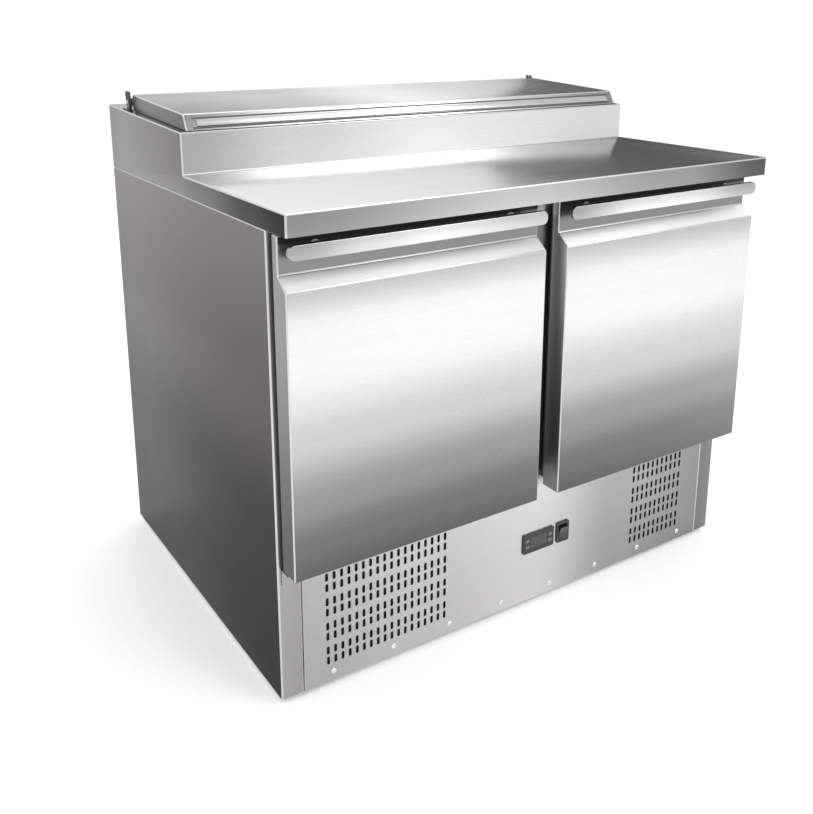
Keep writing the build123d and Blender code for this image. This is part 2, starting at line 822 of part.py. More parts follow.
def kick_screws():
    """Domed screws along the bottom of the kick panel."""
    head = extrude(Circle(kick_screw_radius), amount=screw_head)
    head = fillet(head.edges().group_by(Axis.Z)[-1], screw_crown)
    shank = extrude(Circle(kick_screw_shank), amount=kick_screw_length)
    head += Pos(0, 0, -kick_screw_length) * shank
    cross = Rectangle(screw_drive, screw_drive_width) + Rectangle(screw_drive_width, screw_drive)
    head -= Pos(0, 0, screw_drive_floor) * extrude(cross, amount=screw_head)
    upright = Rot(90, 0, 0) * head
    return [Pos(place, face, kick_screw_height) * upright for place in screw_places()]


def button_places():
    """Two keys on each side of the display window."""
    dx = controller_width / 2 - button_edge
    sides = (-1, 1)
    return [
        (controller_middle + side * dx, controls_height + row * button_rise)
        for side in sides for row in (1, -1)
    ]


def controller_housing():
    """Thermostat body with a front bezel, a window recess and four key holes."""
    x = controller_middle
    z = controls_height
    frame = centred(x, z, controller_width, controller_height, face - bezel, face)
    frame = fillet(frame.edges().filter_by(Axis.Y), bezel_corner)
    body_width = controller_width - 2 * controller_lip
    body_height = controller_height - 2 * controller_lip
    body = centred(x, z, body_width, body_height, face, face + controller_body_depth)
    window = centred(x, z, lens_width, lens_height, face - bezel - 1, face - window_floor)
    holes = [
        key_block(key_x, key_z, clear, face - bezel - 1, face + button_depth)
        for key_x, key_z in button_places()
    ]
    return frame + body - window - holes


def key_block(x, z, room, y0, y1):
    """A box the size of one key with room left all round it."""
    return centred(x, z, button_width + 2 * room, button_height + 2 * room, y0, y1)


def controller_lens():
    """Clear display window."""
    return centred(
        controller_middle, controls_height, lens_width, lens_height, face - bezel, face - window_floor
    )


def controller_button(x, z):
    """One key of the controller, which travels inwards."""
    y0 = face - bezel - button_travel
    y1 = face + button_depth - button_travel - clear
    key = key_block(x, z, 0, y0, y1)
    return fillet(key.edges().group_by(Axis.Y)[0], button_rounding)


def rocker_housing():
    """Frame of the mains switch, open at the front."""
    x = rocker_middle
    z = controls_height
    frame = centred(x, z, rocker_frame_width, rocker_frame_height, face - bezel, face)
    frame = fillet(frame.edges().filter_by(Axis.Y), bezel_corner)
    body_width = rocker_frame_width - 2 * rocker_lip
    body_height = rocker_frame_height - 2 * rocker_lip
    body = centred(x, z, body_width, body_height, face, face + rocker_body_depth)
    well_width = rocker_width + 2 * rocker_side_room
    well_height = rocker_height + 2 * rocker_side_room
    well_floor = face + rocker_body_depth - rocker_back_wall
    well = centred(x, z, well_width, well_height, face - bezel - 1, well_floor)
    bore = Cylinder(rocker_stub_radius + running_fit, rocker_width + 2 * rocker_stub_reach + 1)
    bore = Pos(x, rocker_axis_y, z) * Rot(0, 90, 0) * bore
    return frame + body - well - bore


def rocker():
    """Mains switch rocker with two slanting faces and pivot stubs."""
    z = rocker_height / 2 - rocker_swing_room
    nose = face - bezel - rocker_nose
    reach = z * tan(radians(rocker_tilt))
    outline = [
        (nose - reach, -z + 0.4), (nose, 0), (nose - reach, z - 0.4),
        (rocker_axis_y, z - 0.8), (rocker_axis_y + 5, 0), (rocker_axis_y, -z + 0.8),
    ]
    x = rocker_width / 2
    paddle = Pos(rocker_middle, 0, controls_height) * side_prism(outline, -x, x)
    stub = Cylinder(rocker_stub_radius, rocker_width + 2 * rocker_stub_reach)
    stub = Pos(rocker_middle, rocker_axis_y, controls_height) * Rot(0, 90, 0) * stub
    tilt = Axis((rocker_middle, rocker_axis_y, controls_height), (1, 0, 0))
    return (paddle + stub).rotate(tilt, rocker_tilt)


# ---- machine compartment ---------------------------------------------------------------------
def compressor_feet():
    """Bolt positions of the compressor feet."""
    x, y = compressor_middle
    reach = compressor_radius - foot_hole_inset
    return [(x + sx * reach, y + sy * reach) for sx in (-1, 1) for sy in (-1, 1)]


def compressor():
    """Welded compressor can on a foot plate with a terminal box and stub pipes."""
    x, y = compressor_middle
    z = base + sheet + grommet_height
    side = 2 * (compressor_radius + foot_plate_margin)
    plate = Pos(x, y, z) * extrude(RectangleRounded(side, side, foot_plate_corner), amount=compressor_foot)
    hole = extrude(Circle(foot_hole_radius), amount=compressor_foot + 2)
    plate -= [Pos(foot_x, foot_y, z - 1) * hole for foot_x, foot_y in compressor_feet()]
    can = extrude(Circle(compressor_radius), amount=compressor_height - compressor_foot)
    can = fillet(can.edges().group_by(Axis.Z)[-1], compressor_crown)
    can = Pos(x, y, z + compressor_foot) * can
    x0 = x + compressor_radius - terminal_box_sink
    x1 = x + compressor_radius + terminal_box[0]
    half_box = terminal_box[1] / 2
    z0 = z + terminal_box_low
    box = block(x0, x1, y - half_box, y + half_box, z0, z0 + terminal_box[2])
    return plate + can + box


def compressor_grommets():
    """Rubber mounts with bolts under the compressor feet."""
    pieces = []
    for x, y in compressor_feet():
        rubber = extrude(Circle(grommet_radius), amount=grommet_height)
        top = grommet_height + compressor_foot
        rubber += extrude(Circle(grommet_bolt_radius), amount=top + grommet_head)
        rubber += Pos(0, 0, top) * extrude(Circle(grommet_head_radius), amount=grommet_head)
        pieces.append(Pos(x, y, base + sheet) * rubber)
    return pieces


def finned_coil(x0, x1, y0, y1, z0, z1, fins, rows):
    """Fins on tube rows between two end plates, joined as one brazed block."""
    pitch = (x1 - x0 - coil_end_plate) / (fins - 1)
    starts = [x0 + pitch * index for index in range(fins)]
    plates = [block(start, start + fin_sheet, y0, y1, z0, z1) for start in starts]
    ends = [block(start, start + coil_end_plate, y0, y1, z0, z1) for start in (x0, x1 - coil_end_plate)]
    rise = (z1 - z0) / rows
    depth = (y1 - y0) / 2
    pipes = []
    for row in range(rows):
        for lane in (0, 1):
            y = y0 + depth * (0.5 + lane)
            z = z0 + rise * (row + 0.5)
            pipes.append(rod((x0 - coil_pipe_reach, y, z), (x1 + coil_pipe_reach, y, z), coil_pipe_radius))
    return Part() + ends + plates + pipes


def condenser():
    """Finned coil behind the left grille."""
    x0 = coil_middle - coil_width / 2
    x1 = x0 + coil_width
    top = coil_low + coil_height
    return finned_coil(x0, x1, coil_front, coil_back, coil_low, top, coil_fins, coil_rows)


def condenser_shroud():
    """Box behind the coil with the fan opening and the motor bridge."""
    x0 = coil_middle - coil_width / 2
    y1 = coil_back + shroud_depth
    shell = block(x0, x0 + coil_width, coil_back, y1, coil_low, coil_low + coil_height)
    shell -= block(
        x0 + sheet, x0 + coil_width - sheet, coil_back - 1, y1 - sheet,
        coil_low + sheet, coil_low + coil_height - sheet,
    )
    mouth = Rot(90, 0, 0) * Cylinder(condenser_fan_radius + fan_mouth_room, 10)
    mouth = Pos(coil_middle, y1, coil_mid_z) * mouth
    bridge_x0 = coil_middle - bridge_width / 2
    bridge_x1 = coil_middle + bridge_width / 2
    low = coil_low + bridge_inset
    high = coil_low + coil_height - bridge_inset
    bridge = block(bridge_x0, bridge_x1, bridge_y, condenser_motor_y, low, high)
    legs = [
        block(bridge_x0, bridge_x1, y1 - sheet, condenser_motor_y, z, z + bridge_sheet)
        for z in (low, high - bridge_sheet)
    ]
    shaft_hole = Rot(90, 0, 0) * Cylinder(shaft_radius + clear, 10)
    shaft_hole = Pos(coil_middle, bridge_y, coil_mid_z) * shaft_hole
    return shell - mouth + (bridge - shaft_hole) + legs


def fan(radius):
    """Fan wheel drawn around the Y axis: bored hub and pitched blades."""
    wheel = Part() + Rot(90, 0, 0) * Cylinder(fan_hub_radius, fan_depth)
    blade = Rot(0, 0, blade_pitch) * Box(blade_width, fan_blade, radius - fan_root)
    blade = Pos(0, 0, (radius + fan_root) / 2) * blade
    for index in range(fan_blades):
        wheel += Rot(0, 360 / fan_blades * index, 0) * blade
    wheel &= Rot(90, 0, 0) * Cylinder(radius, fan_depth)
    return wheel - Rot(90, 0, 0) * Cylinder(shaft_radius + running_fit, fan_depth + 2)


def fan_motor(shaft_length):
    """Small motor drawn around the Y axis, shaft pointing to -Y."""
    body = Rot(-90, 0, 0) * extrude(Circle(motor_radius), amount=motor_length)
    body = fillet(body.edges().group_by(Axis.Y)[-1], motor_rounding)
    return body + Rot(90, 0, 0) * extrude(Circle(shaft_radius), amount=shaft_length)


def condenser_fan():
    """Axial fan that draws air through the condenser."""
    return Pos(coil_middle, condenser_fan_y, coil_mid_z) * fan(condenser_fan_radius)


def condenser_fan_motor():
    """Motor on the bridge of the shroud, its shaft through the fan hub."""
    motor = fan_motor(condenser_motor_y - condenser_fan_y + fan_depth / 2 - 1)
    return Pos(coil_middle, condenser_motor_y, coil_mid_z) * motor


def drip_tray():
    """Open plastic tray that collects the defrost water."""
    w, d, h = tray_size
    x0 = coil_middle - w / 2
    y0 = back - tray_from_back - d
    z0 = base + sheet
    tray = block(x0, x0 + w, y0, y0 + d, z0, z0 + h)
    return tray - block(
        x0 + tray_wall, x0 + w - tray_wall, y0 + tray_wall, y0 + d - tray_wall, z0 + tray_wall, z0 + h + 1
    )


def refrigerant_pipes():
    """Discharge line, liquid line with its drier, and suction line up the back of the cabinet."""
    middle_x, middle_y = compressor_middle
    stub = middle_x - compressor_radius * 0.999
    turn = stub - 60
    coil_end = coil_middle + coil_width / 2 + coil_pipe_reach
    y_front = coil_front + coil_depth / 4
    rise = coil_height / coil_rows
    top = coil_low + coil_height - rise / 2
    low = coil_low + rise / 2
    path = [(stub, middle_y, top), (turn, middle_y, top), (turn, y_front, top), (coil_end, y_front, top)]
    discharge = tube(path, 18, line_radius)
    drier_x = coil_end + line_step
    drier_y = y_front + drier_length
    path = [(coil_end, y_front, low), (drier_x, y_front, low), (drier_x, drier_y, low)]
    liquid = tube(path, 15, line_radius)
    tail_y = drier_y + drier_length
    drier = rod((drier_x, drier_y, low), (drier_x, tail_y, low), drier_radius)
    climb_y = tail_y + 60
    end_z = box_floor_height
    path = [(drier_x, tail_y, low), (drier_x, climb_y, low), (drier_x, climb_y, end_z)]
    capillary = tube(path, 20, capillary_radius)
    suction_x = drier_x + 30
    suction_y = middle_y + 20
    mid_z = coil_low + suction_height
    path = [(stub, suction_y, mid_z), (suction_x, suction_y, mid_z), (suction_x, suction_y, end_z)]
    suction = tube(path, 20, suction_radius)
    return [discharge, liquid + drier, capillary, suction]


# ---- inside the cold box ---------------------------------------------------------------------
def evaporator_cover():
    """Folded cover on the rear wall with two finger guards in its face."""
    x = evaporator_width / 2
    shell = block(-x, x, evaporator_front, box_back, evaporator_bottom, evaporator_top)
    shell -= block(
        -x + liner_sheet, x - liner_sheet, evaporator_front + liner_sheet, box_back + 1,
        evaporator_bottom + liner_sheet, evaporator_top - liner_sheet,
    )
    slot = Rot(90, 0, 0) * extrude(SlotOverall(guard_slot_length, guard_slot_height), amount=4, both=True)
    first = evaporator_mid_z - guard_row_pitch * (guard_rows - 1) / 2
    rows = [first + guard_row_pitch * row for row in range(guard_rows)]
    return shell - [Pos(column, evaporator_front, row) * slot for row in rows for column in guard_columns]


def evaporator():
    """Finned coil against the rear wall."""
    x = evaporator_width / 2 - evaporator_coil_side
    z0 = evaporator_bottom + evaporator_coil_inset
    z1 = evaporator_top - evaporator_coil_inset
    return finned_coil(-x, x, evaporator_coil_front, box_back, z0, z1, evaporator_fins, evaporator_rows)


def evaporator_fan():
    """Fan behind the guards of the cover."""
    return Pos(0, evaporator_fan_y, evaporator_mid_z) * fan(evaporator_fan_radius)


def evaporator_fan_motor():
    """Motor against the face of the coil, its shaft through the fan hub."""
    motor = fan_motor(evaporator_motor_y - evaporator_fan_y + fan_depth / 2 - 1)
    return Pos(0, evaporator_motor_y, evaporator_mid_z) * motor


def wire_shelf():
    """Welded wire shelf of the right-hand side."""
    z = shelf_height
    bar = shelf_frame
    x0 = shelf_inner + bar
    x1 = shelf_outer - bar
    y0 = shelf_front + bar
    y1 = shelf_back - bar
    shelf = Part()
    for y in (y0, (y0 + y1) / 2, y1):
        shelf += block(shelf_inner, shelf_outer, y - bar, y + bar, z - bar, z + 2)
    for x in (x0, x1):
        shelf += block(x - bar, x + bar, y0, y1, z - bar, z + 2)
    step = (x1 - x0) / (shelf_wire_count + 1)
    for index in range(shelf_wire_count):
        x = x0 + step * (index + 1)
        shelf += rod((x, y0, z + 2.5), (x, y1, z + 2.5), shelf_wire)
    return shelf


def shelf_clips():
    """Ledges under the corners of each shelf: on the side liner, the mullion and the rear liner."""
    z1 = shelf_height - shelf_frame
    z0 = z1 - clip_height
    outer = box_side - clip_reach
    inner = shelf_inner + clip_reach
    front_y = shelf_front + 30
    back_y = shelf_back - 60
    clips = [
        block(outer, box_side, front_y, front_y + clip_width, z0, z1),
        block(outer, box_side, back_y, back_y + clip_width, z0, z1),
        block(mullion_width / 2 - 14, inner, face + rail_depth, shelf_front + 8, z0, z1),
        block(shelf_inner - 4, inner, shelf_back - 8, box_back, z0, z1),
    ]
    return [piece for clip in clips for piece in both_sides(clip)]


# ---- write every node ------------------------------------------------------------------------
def main():
    """Build the table and write its nodes."""
    os.makedirs("parts", exist_ok=True)
    left_side = left_side_panel()
    save("left_side_panel", left_side)
    save("right_side_panel", mirror(left_side, about=Plane.YZ))
    save("back_panel", back_panel())
    save("rear_grille", rear_grille())
    save("power_inlet", power_inlet())
    save("base_tray", base_tray())
    save("glides", glides())
    save("insulation", insulation())
    save("inner_liner", inner_liner())
    save("top_rail", top_rail())
    save("sill_rail", sill_rail())
    save("centre_mullion", centre_mullion())
    save("worktop", worktop())
    save("hood_cheeks", hood_cheeks())
    save("hood_front", hood_front_panel())
    save("hood_roof", hood_roof())
    save("pan_deck", pan_deck())
    for index, x in enumerate(pan_places()):
        save(f"pan_{index + 1}", pan(x))
    save("lid_skin", lid_skin())
    save("lid_inner_panel", lid_inner_panel())
    save("lid_hinge_brackets", lid_hinge_brackets())
    door = {
        "skin": door_skin(), "inner_panel": door_inner_panel(), "gasket": door_gasket(),
        "handle": door_handle(), "bushes": Compound(children=door_bushes()),
    }
    for piece, shape in door.items():
        save(f"right_door_{piece}", shape)
        save(f"left_door_{piece}", mirror(shape, about=Plane.YZ))
    save("door_hinge_brackets", door_hinge_brackets())
    save("kick_panel", kick_panel())
    save("kick_screws", kick_screws())
    save("controller_housing", controller_housing())
    save("controller_lens", controller_lens())
    for index, (x, z) in enumerate(button_places()):
        save(f"controller_button_{index + 1}", controller_button(x, z))
    save("rocker_housing", rocker_housing())
    save("rocker", rocker())
    save("compressor", compressor())
    save("compressor_grommets", compressor_grommets())
    save("condenser", condenser())
    save("condenser_shroud", condenser_shroud())
    save("condenser_fan", condenser_fan())
    save("condenser_fan_motor", condenser_fan_motor())
    save("drip_tray", drip_tray())
    save("refrigerant_pipes", refrigerant_pipes())
    save("evaporator", evaporator())
    save("evaporator_cover", evaporator_cover())
    save("evaporator_fan", evaporator_fan())
    save("evaporator_fan_motor", evaporator_fan_motor())
    save("wire_shelves", both_sides(wire_shelf()))
    save("shelf_clips", shelf_clips())


main()
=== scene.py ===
"""Sandwich prep table: finishes, folded-sheet casing, lights and camera around the CAD frame."""

import json
import logging
import math
from dataclasses import dataclass, field
from enum import Enum
from typing import Callable, Sequence

import bpy
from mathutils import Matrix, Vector


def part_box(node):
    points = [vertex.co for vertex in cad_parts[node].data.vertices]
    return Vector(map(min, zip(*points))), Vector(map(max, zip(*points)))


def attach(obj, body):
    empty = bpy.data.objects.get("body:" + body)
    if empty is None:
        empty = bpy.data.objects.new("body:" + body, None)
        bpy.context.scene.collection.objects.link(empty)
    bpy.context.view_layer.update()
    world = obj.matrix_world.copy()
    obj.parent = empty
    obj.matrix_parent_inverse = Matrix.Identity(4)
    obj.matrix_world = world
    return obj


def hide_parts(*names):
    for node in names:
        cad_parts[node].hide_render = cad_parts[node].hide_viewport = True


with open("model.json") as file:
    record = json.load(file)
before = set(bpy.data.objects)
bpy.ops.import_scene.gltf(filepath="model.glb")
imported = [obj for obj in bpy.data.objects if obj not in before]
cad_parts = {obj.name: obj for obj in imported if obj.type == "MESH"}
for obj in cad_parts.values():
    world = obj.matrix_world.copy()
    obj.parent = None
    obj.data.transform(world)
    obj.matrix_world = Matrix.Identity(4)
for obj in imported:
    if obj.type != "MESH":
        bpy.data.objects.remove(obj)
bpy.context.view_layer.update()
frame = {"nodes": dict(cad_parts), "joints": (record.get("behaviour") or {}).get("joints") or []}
log = logging.getLogger("prep_table")

Point = tuple[float, float, float]
Flat = tuple[float, float]
Tone = tuple[float, float, float]

SHEET = 0.0012
FOLD = 0.0022
FOLD_STEPS = 3
RECESS_HEIGHT = 0.052
DOWN = (0.0, 0.0, -1.0)
REARWARD = (0.0, 1.0, 0.0)


# ---- shader maths -----------------------------------------------------------------------------
class Field:
    """A number on a surface, as a shader socket that takes part in Python expressions."""

    def __init__(self, graph: "Graph", socket: bpy.types.NodeSocket) -> None:
        """Wraps a socket.

        Args:
            graph: The material the socket belongs to.
            socket: The output that carries the number.
        """
        self.graph = graph
        self.socket = socket

    def _join(self, operation: str, first: object, second: object) -> "Field":
        """Adds one Math node and returns its result.

        Args:
            operation: The Math node's operation.
            first: Its first value.
            second: Its second value.

        Returns:
            The result.
        """
        made = self.graph.node("ShaderNodeMath", {"operation": operation}, {0: first, 1: second})
        return Field(self.graph, made.outputs[0])

    def __add__(self, other: object) -> "Field":
        """This plus another."""
        return self._join("ADD", self, other)

    def __radd__(self, other: object) -> "Field":
        """Another plus this."""
        return self._join("ADD", other, self)

    def __sub__(self, other: object) -> "Field":
        """This less another."""
        return self._join("SUBTRACT", self, other)

    def __rsub__(self, other: object) -> "Field":
        """Another less this."""
        return self._join("SUBTRACT", other, self)

    def __mul__(self, other: object) -> "Field":
        """This times another."""
        return self._join("MULTIPLY", self, other)

    def __rmul__(self, other: object) -> "Field":
        """Another times this."""
        return self._join("MULTIPLY", other, self)


class Graph:
    """The node tree of one new material."""

    def __init__(self, name: str) -> None:
        """Makes an empty material.

        Args:
            name: The material's name.
        """
        self.material = bpy.data.materials.new(name)
        self.material.use_nodes = True
        self.tree = self.material.node_tree
        self.tree.nodes.clear()
        self.place = self.node("ShaderNodeTexCoord").outputs["Object"]

    def node(self, kind: str, settings: dict | None = None, values: dict | None = None) -> bpy.types.Node:
        """Adds any node.

        Args:
            kind: The node's type.
            settings: Properties to set first, with "stops" for a colour ramp.
            values: Socket name or number to a value, a Field or a socket.

        Returns:
            The node.
        """
        made = self.tree.nodes.new(kind)
        for key, value in (settings or {}).items():
            if key == "stops":
                self._set_stops(made.color_ramp, value)
            else:
                setattr(made, key, value)
        for key, value in (values or {}).items():
            source = value.socket if isinstance(value, Field) else value
            if isinstance(source, bpy.types.NodeSocket):
                self.tree.links.new(source, made.inputs[key])
            else:
                made.inputs[key].default_value = source
        return made

    @staticmethod
    def _set_stops(ramp: bpy.types.ColorRamp, stops: Sequence[tuple[float, Tone]]) -> None:
        """Sets a colour ramp to the given places and colours.

        Args:
            ramp: The ramp to set.
            stops: Places from 0 to 1 with their colours.
        """
        while len(ramp.elements) > 1:
            ramp.elements.remove(ramp.elements[-1])
        ramp.elements[0].position = stops[0][0]
        ramp.elements[0].color = (*stops[0][1], 1.0)
        for place, tone in stops[1:]:
            ramp.elements.new(place).color = (*tone, 1.0)

    def mapped(self, scale: Point) -> bpy.types.NodeSocket:
        """Object coordinates times scale."""
        return self.node("ShaderNodeMapping", None, {"Vector": self.place, "Scale": scale}).outputs[0]

    def noise(self, scale: Point, detail: float = 2.0, roughness: float = 0.5) -> Field:
        """Cloudy noise from 0 to 1 with its own scale along each axis.

        Args:
            scale: How fine it is along X, Y and Z.
            detail: How many finer layers it has.
            roughness: How strong those layers are.

        Returns:
            The noise.
        """
        values = {"Vector": self.mapped(scale), "Scale": 1.0, "Detail": detail, "Roughness": roughness}
        return Field(self, self.node("ShaderNodeTexNoise", None, values).outputs["Fac"])

    def along(self, axis: int, start: float, end: float) -> Field:
        """How far a point is from start to end along one axis, held between 0 and 1.

        Args:
            axis: 0, 1 or 2 for X, Y or Z.
            start: Where it reads 0.
            end: Where it reads 1.

        Returns:
            The share of the way.
        """
        split = self.node("ShaderNodeSeparateXYZ", None, {0: self.place})
        values = {"Value": split.outputs[axis], "From Min": start, "From Max": end}
        return Field(self, self.node("ShaderNodeMapRange", {"clamp": True}, values).outputs[0])

    def ramp(self, amount: Field, stops: Sequence[tuple[float, Tone]]) -> bpy.types.NodeSocket:
        """A colour picked smoothly along stops.

        Args:
            amount: The place along the ramp.
            stops: Places from 0 to 1 with their colours.

        Returns:
            The colour.
        """
        made = self.node("ShaderNodeValToRGB", {"stops": stops}, {0: amount})
        made.color_ramp.interpolation = "EASE"
        return made.outputs[0]

    def times(self, first: object, second: object) -> bpy.types.NodeSocket:
        """Two colours multiplied, where a Field stands for a grey."""
        settings = {"data_type": "RGBA", "blend_type": "MULTIPLY"}
        return self.node("ShaderNodeMix", settings, {0: 1.0, 6: first, 7: second}).outputs[2]

    def between(self, first: object, second: object, amount: object) -> bpy.types.NodeSocket:
        """A colour between two others."""
        return self.node("ShaderNodeMix", {"data_type": "RGBA"}, {0: amount, 6: first, 7: second}).outputs[2]

    def bump(self, height: Field, strength: float, distance: float) -> bpy.types.NodeSocket:
        """A surface normal raised by height.

        Args:
            height: The height pattern.
            strength: How much of it shows.
            distance: How high it stands, in metres.

        Returns:
            The normal.
        """
        values = {"Height": height, "Strength": strength, "Distance": distance}
        return self.node("ShaderNodeBump", None, values).outputs[0]

    def finish(self, values: dict) -> bpy.types.Material:
        """Ends the material with one Principled shader.

        Args:
            values: Its sockets.

        Returns:
            The material.
        """
        shader = self.node("ShaderNodeBsdfPrincipled", None, values)
        self.node("ShaderNodeOutputMaterial", None, {"Surface": shader.outputs[0]})
        return self.material


# ---- finishes ---------------------------------------------------------------------------------
class Grain(Enum):
    """Which way the brushing runs, as noise scales along X, Y and Z."""

    ACROSS = (1.0, 60.0, 60.0)
    UPRIGHT = (60.0, 60.0, 1.0)
    FRONT_TO_BACK = (60.0, 1.0, 60.0)


@dataclass(frozen=True)
class PaintedSweep:
    """Painted light and shade: how a sheet's tone drifts from one end to the other, standing for how light
    falls on it and what it mirrors.
    """

    axis: int
    start: float
    end: float
    tones: tuple[tuple[float, float], ...]

    def stops(self) -> list[tuple[float, Tone]]:
        """The tones as grey ramp stops."""
        return [(place, (tone, tone, tone)) for place, tone in self.tones]


@dataclass(frozen=True)
class BrushedSteel:
    """Stainless sheet with fine brushing, faint cloudy bands, soft handling marks and painted light and
    shade from its sweeps.

    The edge value dims what the sheet mirrors when it is seen at a low angle.
    """

    name: str
    tint: Tone = (0.70, 0.70, 0.695)
    grain: Grain = Grain.ACROSS
    roughness: float = 0.30
    brushing: float = 0.10
    painted_sweeps: tuple[PaintedSweep, ...] = ()
    edge: float = 1.0

    def make(self) -> bpy.types.Material:
        """Builds the material."""
        graph = Graph(self.name)
        along = self.grain.value
        fine = graph.noise(tuple(14.0 * part for part in along), 3.0, 0.6)
        bands = graph.noise(tuple(1.1 * part for part in along), 2.0, 0.5)
        clouds = graph.noise((5.0, 5.0, 5.0), 2.0, 0.5)
        smudges = graph.noise((22.0, 22.0, 22.0), 4.0, 0.6)
        shade = 1.0 - self.brushing + self.brushing * (fine * 1.1 + bands * 0.6 + clouds * 0.3)
        colour = graph.times((*self.tint, 1.0), shade.socket)
        # Painted light and shade: each sweep darkens the colour along one axis.
        for sweep in self.painted_sweeps:
            place = graph.along(sweep.axis, sweep.start, sweep.end)
            colour = graph.times(colour, graph.ramp(place, sweep.stops()))
        rough = self.roughness - 0.07 + 0.08 * fine + 0.05 * smudges
        return graph.finish({
            "Base Color": colour, "Metallic": 1.0, "Roughness": rough,
            "Specular Tint": (self.edge, self.edge, self.edge, 1.0),
            "Normal": graph.bump(fine, 0.10, 0.0003),
        })


@dataclass(frozen=True)
class Moulded:
    """Moulded plastic or rubber with a fine grain."""

    name: str
    tint: Tone
    roughness: float = 0.45
    grain: float = 900.0
    depth: float = 0.15
    coat: float = 0.0

    def make(self) -> bpy.types.Material:
        """Builds the material."""
        graph = Graph(self.name)
        grain = graph.noise((self.grain, self.grain, self.grain), 2.0, 0.5)
        wear = graph.noise((35.0, 35.0, 35.0), 3.0, 0.6)
        pale = tuple(min(1.0, part * 1.25 + 0.012) for part in self.tint)
        colour = graph.between((*self.tint, 1.0), (*pale, 1.0), wear)
        return graph.finish({
            "Base Color": colour, "Roughness": self.roughness - 0.05 + 0.10 * wear,
            "Coat Weight": self.coat, "Normal": graph.bump(grain, self.depth, 0.0002),
        })


@dataclass(frozen=True)
class BareMetal:
    """Plain metal without brushing: fins, copper pipe, galvanised sheet."""

    name: str
    tint: Tone
    dark: Tone
    scale: float = 30.0
    roughness: float = 0.4

    def make(self) -> bpy.types.Material:
        """Builds the material."""
        graph = Graph(self.name)
        mottle = graph.noise((self.scale, self.scale, self.scale), 4.0, 0.6)
        colour = graph.ramp(mottle, ((0.35, self.dark), (0.65, self.tint)))
        return graph.finish({
            "Base Color": colour, "Metallic": 1.0, "Roughness": self.roughness - 0.08 + 0.16 * mottle,
            "Normal": graph.bump(mottle, 0.08, 0.0005),
        })


@dataclass(frozen=True)
class FoamBlock:
    """Cut polyurethane foam."""

    name: str
    tint: Tone = (0.80, 0.72, 0.48)

    def make(self) -> bpy.types.Material:
        """Builds the material."""
        graph = Graph(self.name)
        values = {"Vector": graph.mapped((600.0, 600.0, 600.0)), "Scale": 1.0}
        cells = Field(graph, graph.node("ShaderNodeTexVoronoi", None, values).outputs["Distance"])
        colour = graph.ramp(cells, ((0.0, tuple(part * 0.75 for part in self.tint)), (0.6, self.tint)))
        return graph.finish({"Base Color": colour, "Roughness": 0.9 - 0.1 * cells,
                             "Normal": graph.bump(cells, 0.4, 0.0006)})


@dataclass(frozen=True)
class FilterMesh:
    """Black woven air filter behind the grilles."""

    name: str

    def make(self) -> bpy.types.Material:
        """Builds the material."""
        graph = Graph(self.name)
        across = {"Vector": graph.mapped((1.0, 1.0, 1.0)), "Scale": 260.0}
        weave_x = graph.node("ShaderNodeTexWave", {"bands_direction": "X"}, across).outputs["Fac"]
        weave_z = graph.node("ShaderNodeTexWave", {"bands_direction": "Z"}, across).outputs["Fac"]
        weave = Field(graph, weave_x) * Field(graph, weave_z)
        # Near black: partly the filter's own colour, partly painted shade behind the slots.
        colour = graph.ramp(weave, ((0.2, (0.004, 0.004, 0.004)), (0.9, (0.02, 0.02, 0.021))))
        return graph.finish({"Base Color": colour, "Roughness": 0.85 - 0.1 * weave,
                             "Normal": graph.bump(weave, 0.3, 0.0004)})


@dataclass(frozen=True)
class PaleFloor:
    """Matt pale floor with the faintest mottling."""

    name: str
    tone: float = 0.84
    glow: float = 0.16

    def make(self) -> bpy.types.Material:
        """Builds the material."""
        graph = Graph(self.name)
        mottle = graph.noise((1.5, 1.5, 1.5), 2.0, 0.5)
        low = (self.tone - 0.01,) * 3
        high = (self.tone + 0.01,) * 3
        return graph.finish({
            "Base Color": graph.ramp(mottle, ((0.3, low), (0.7, high))), "Roughness": 0.95,
            "Emission Color": (1.0, 1.0, 1.0, 1.0), "Emission Strength": self.glow,
        })


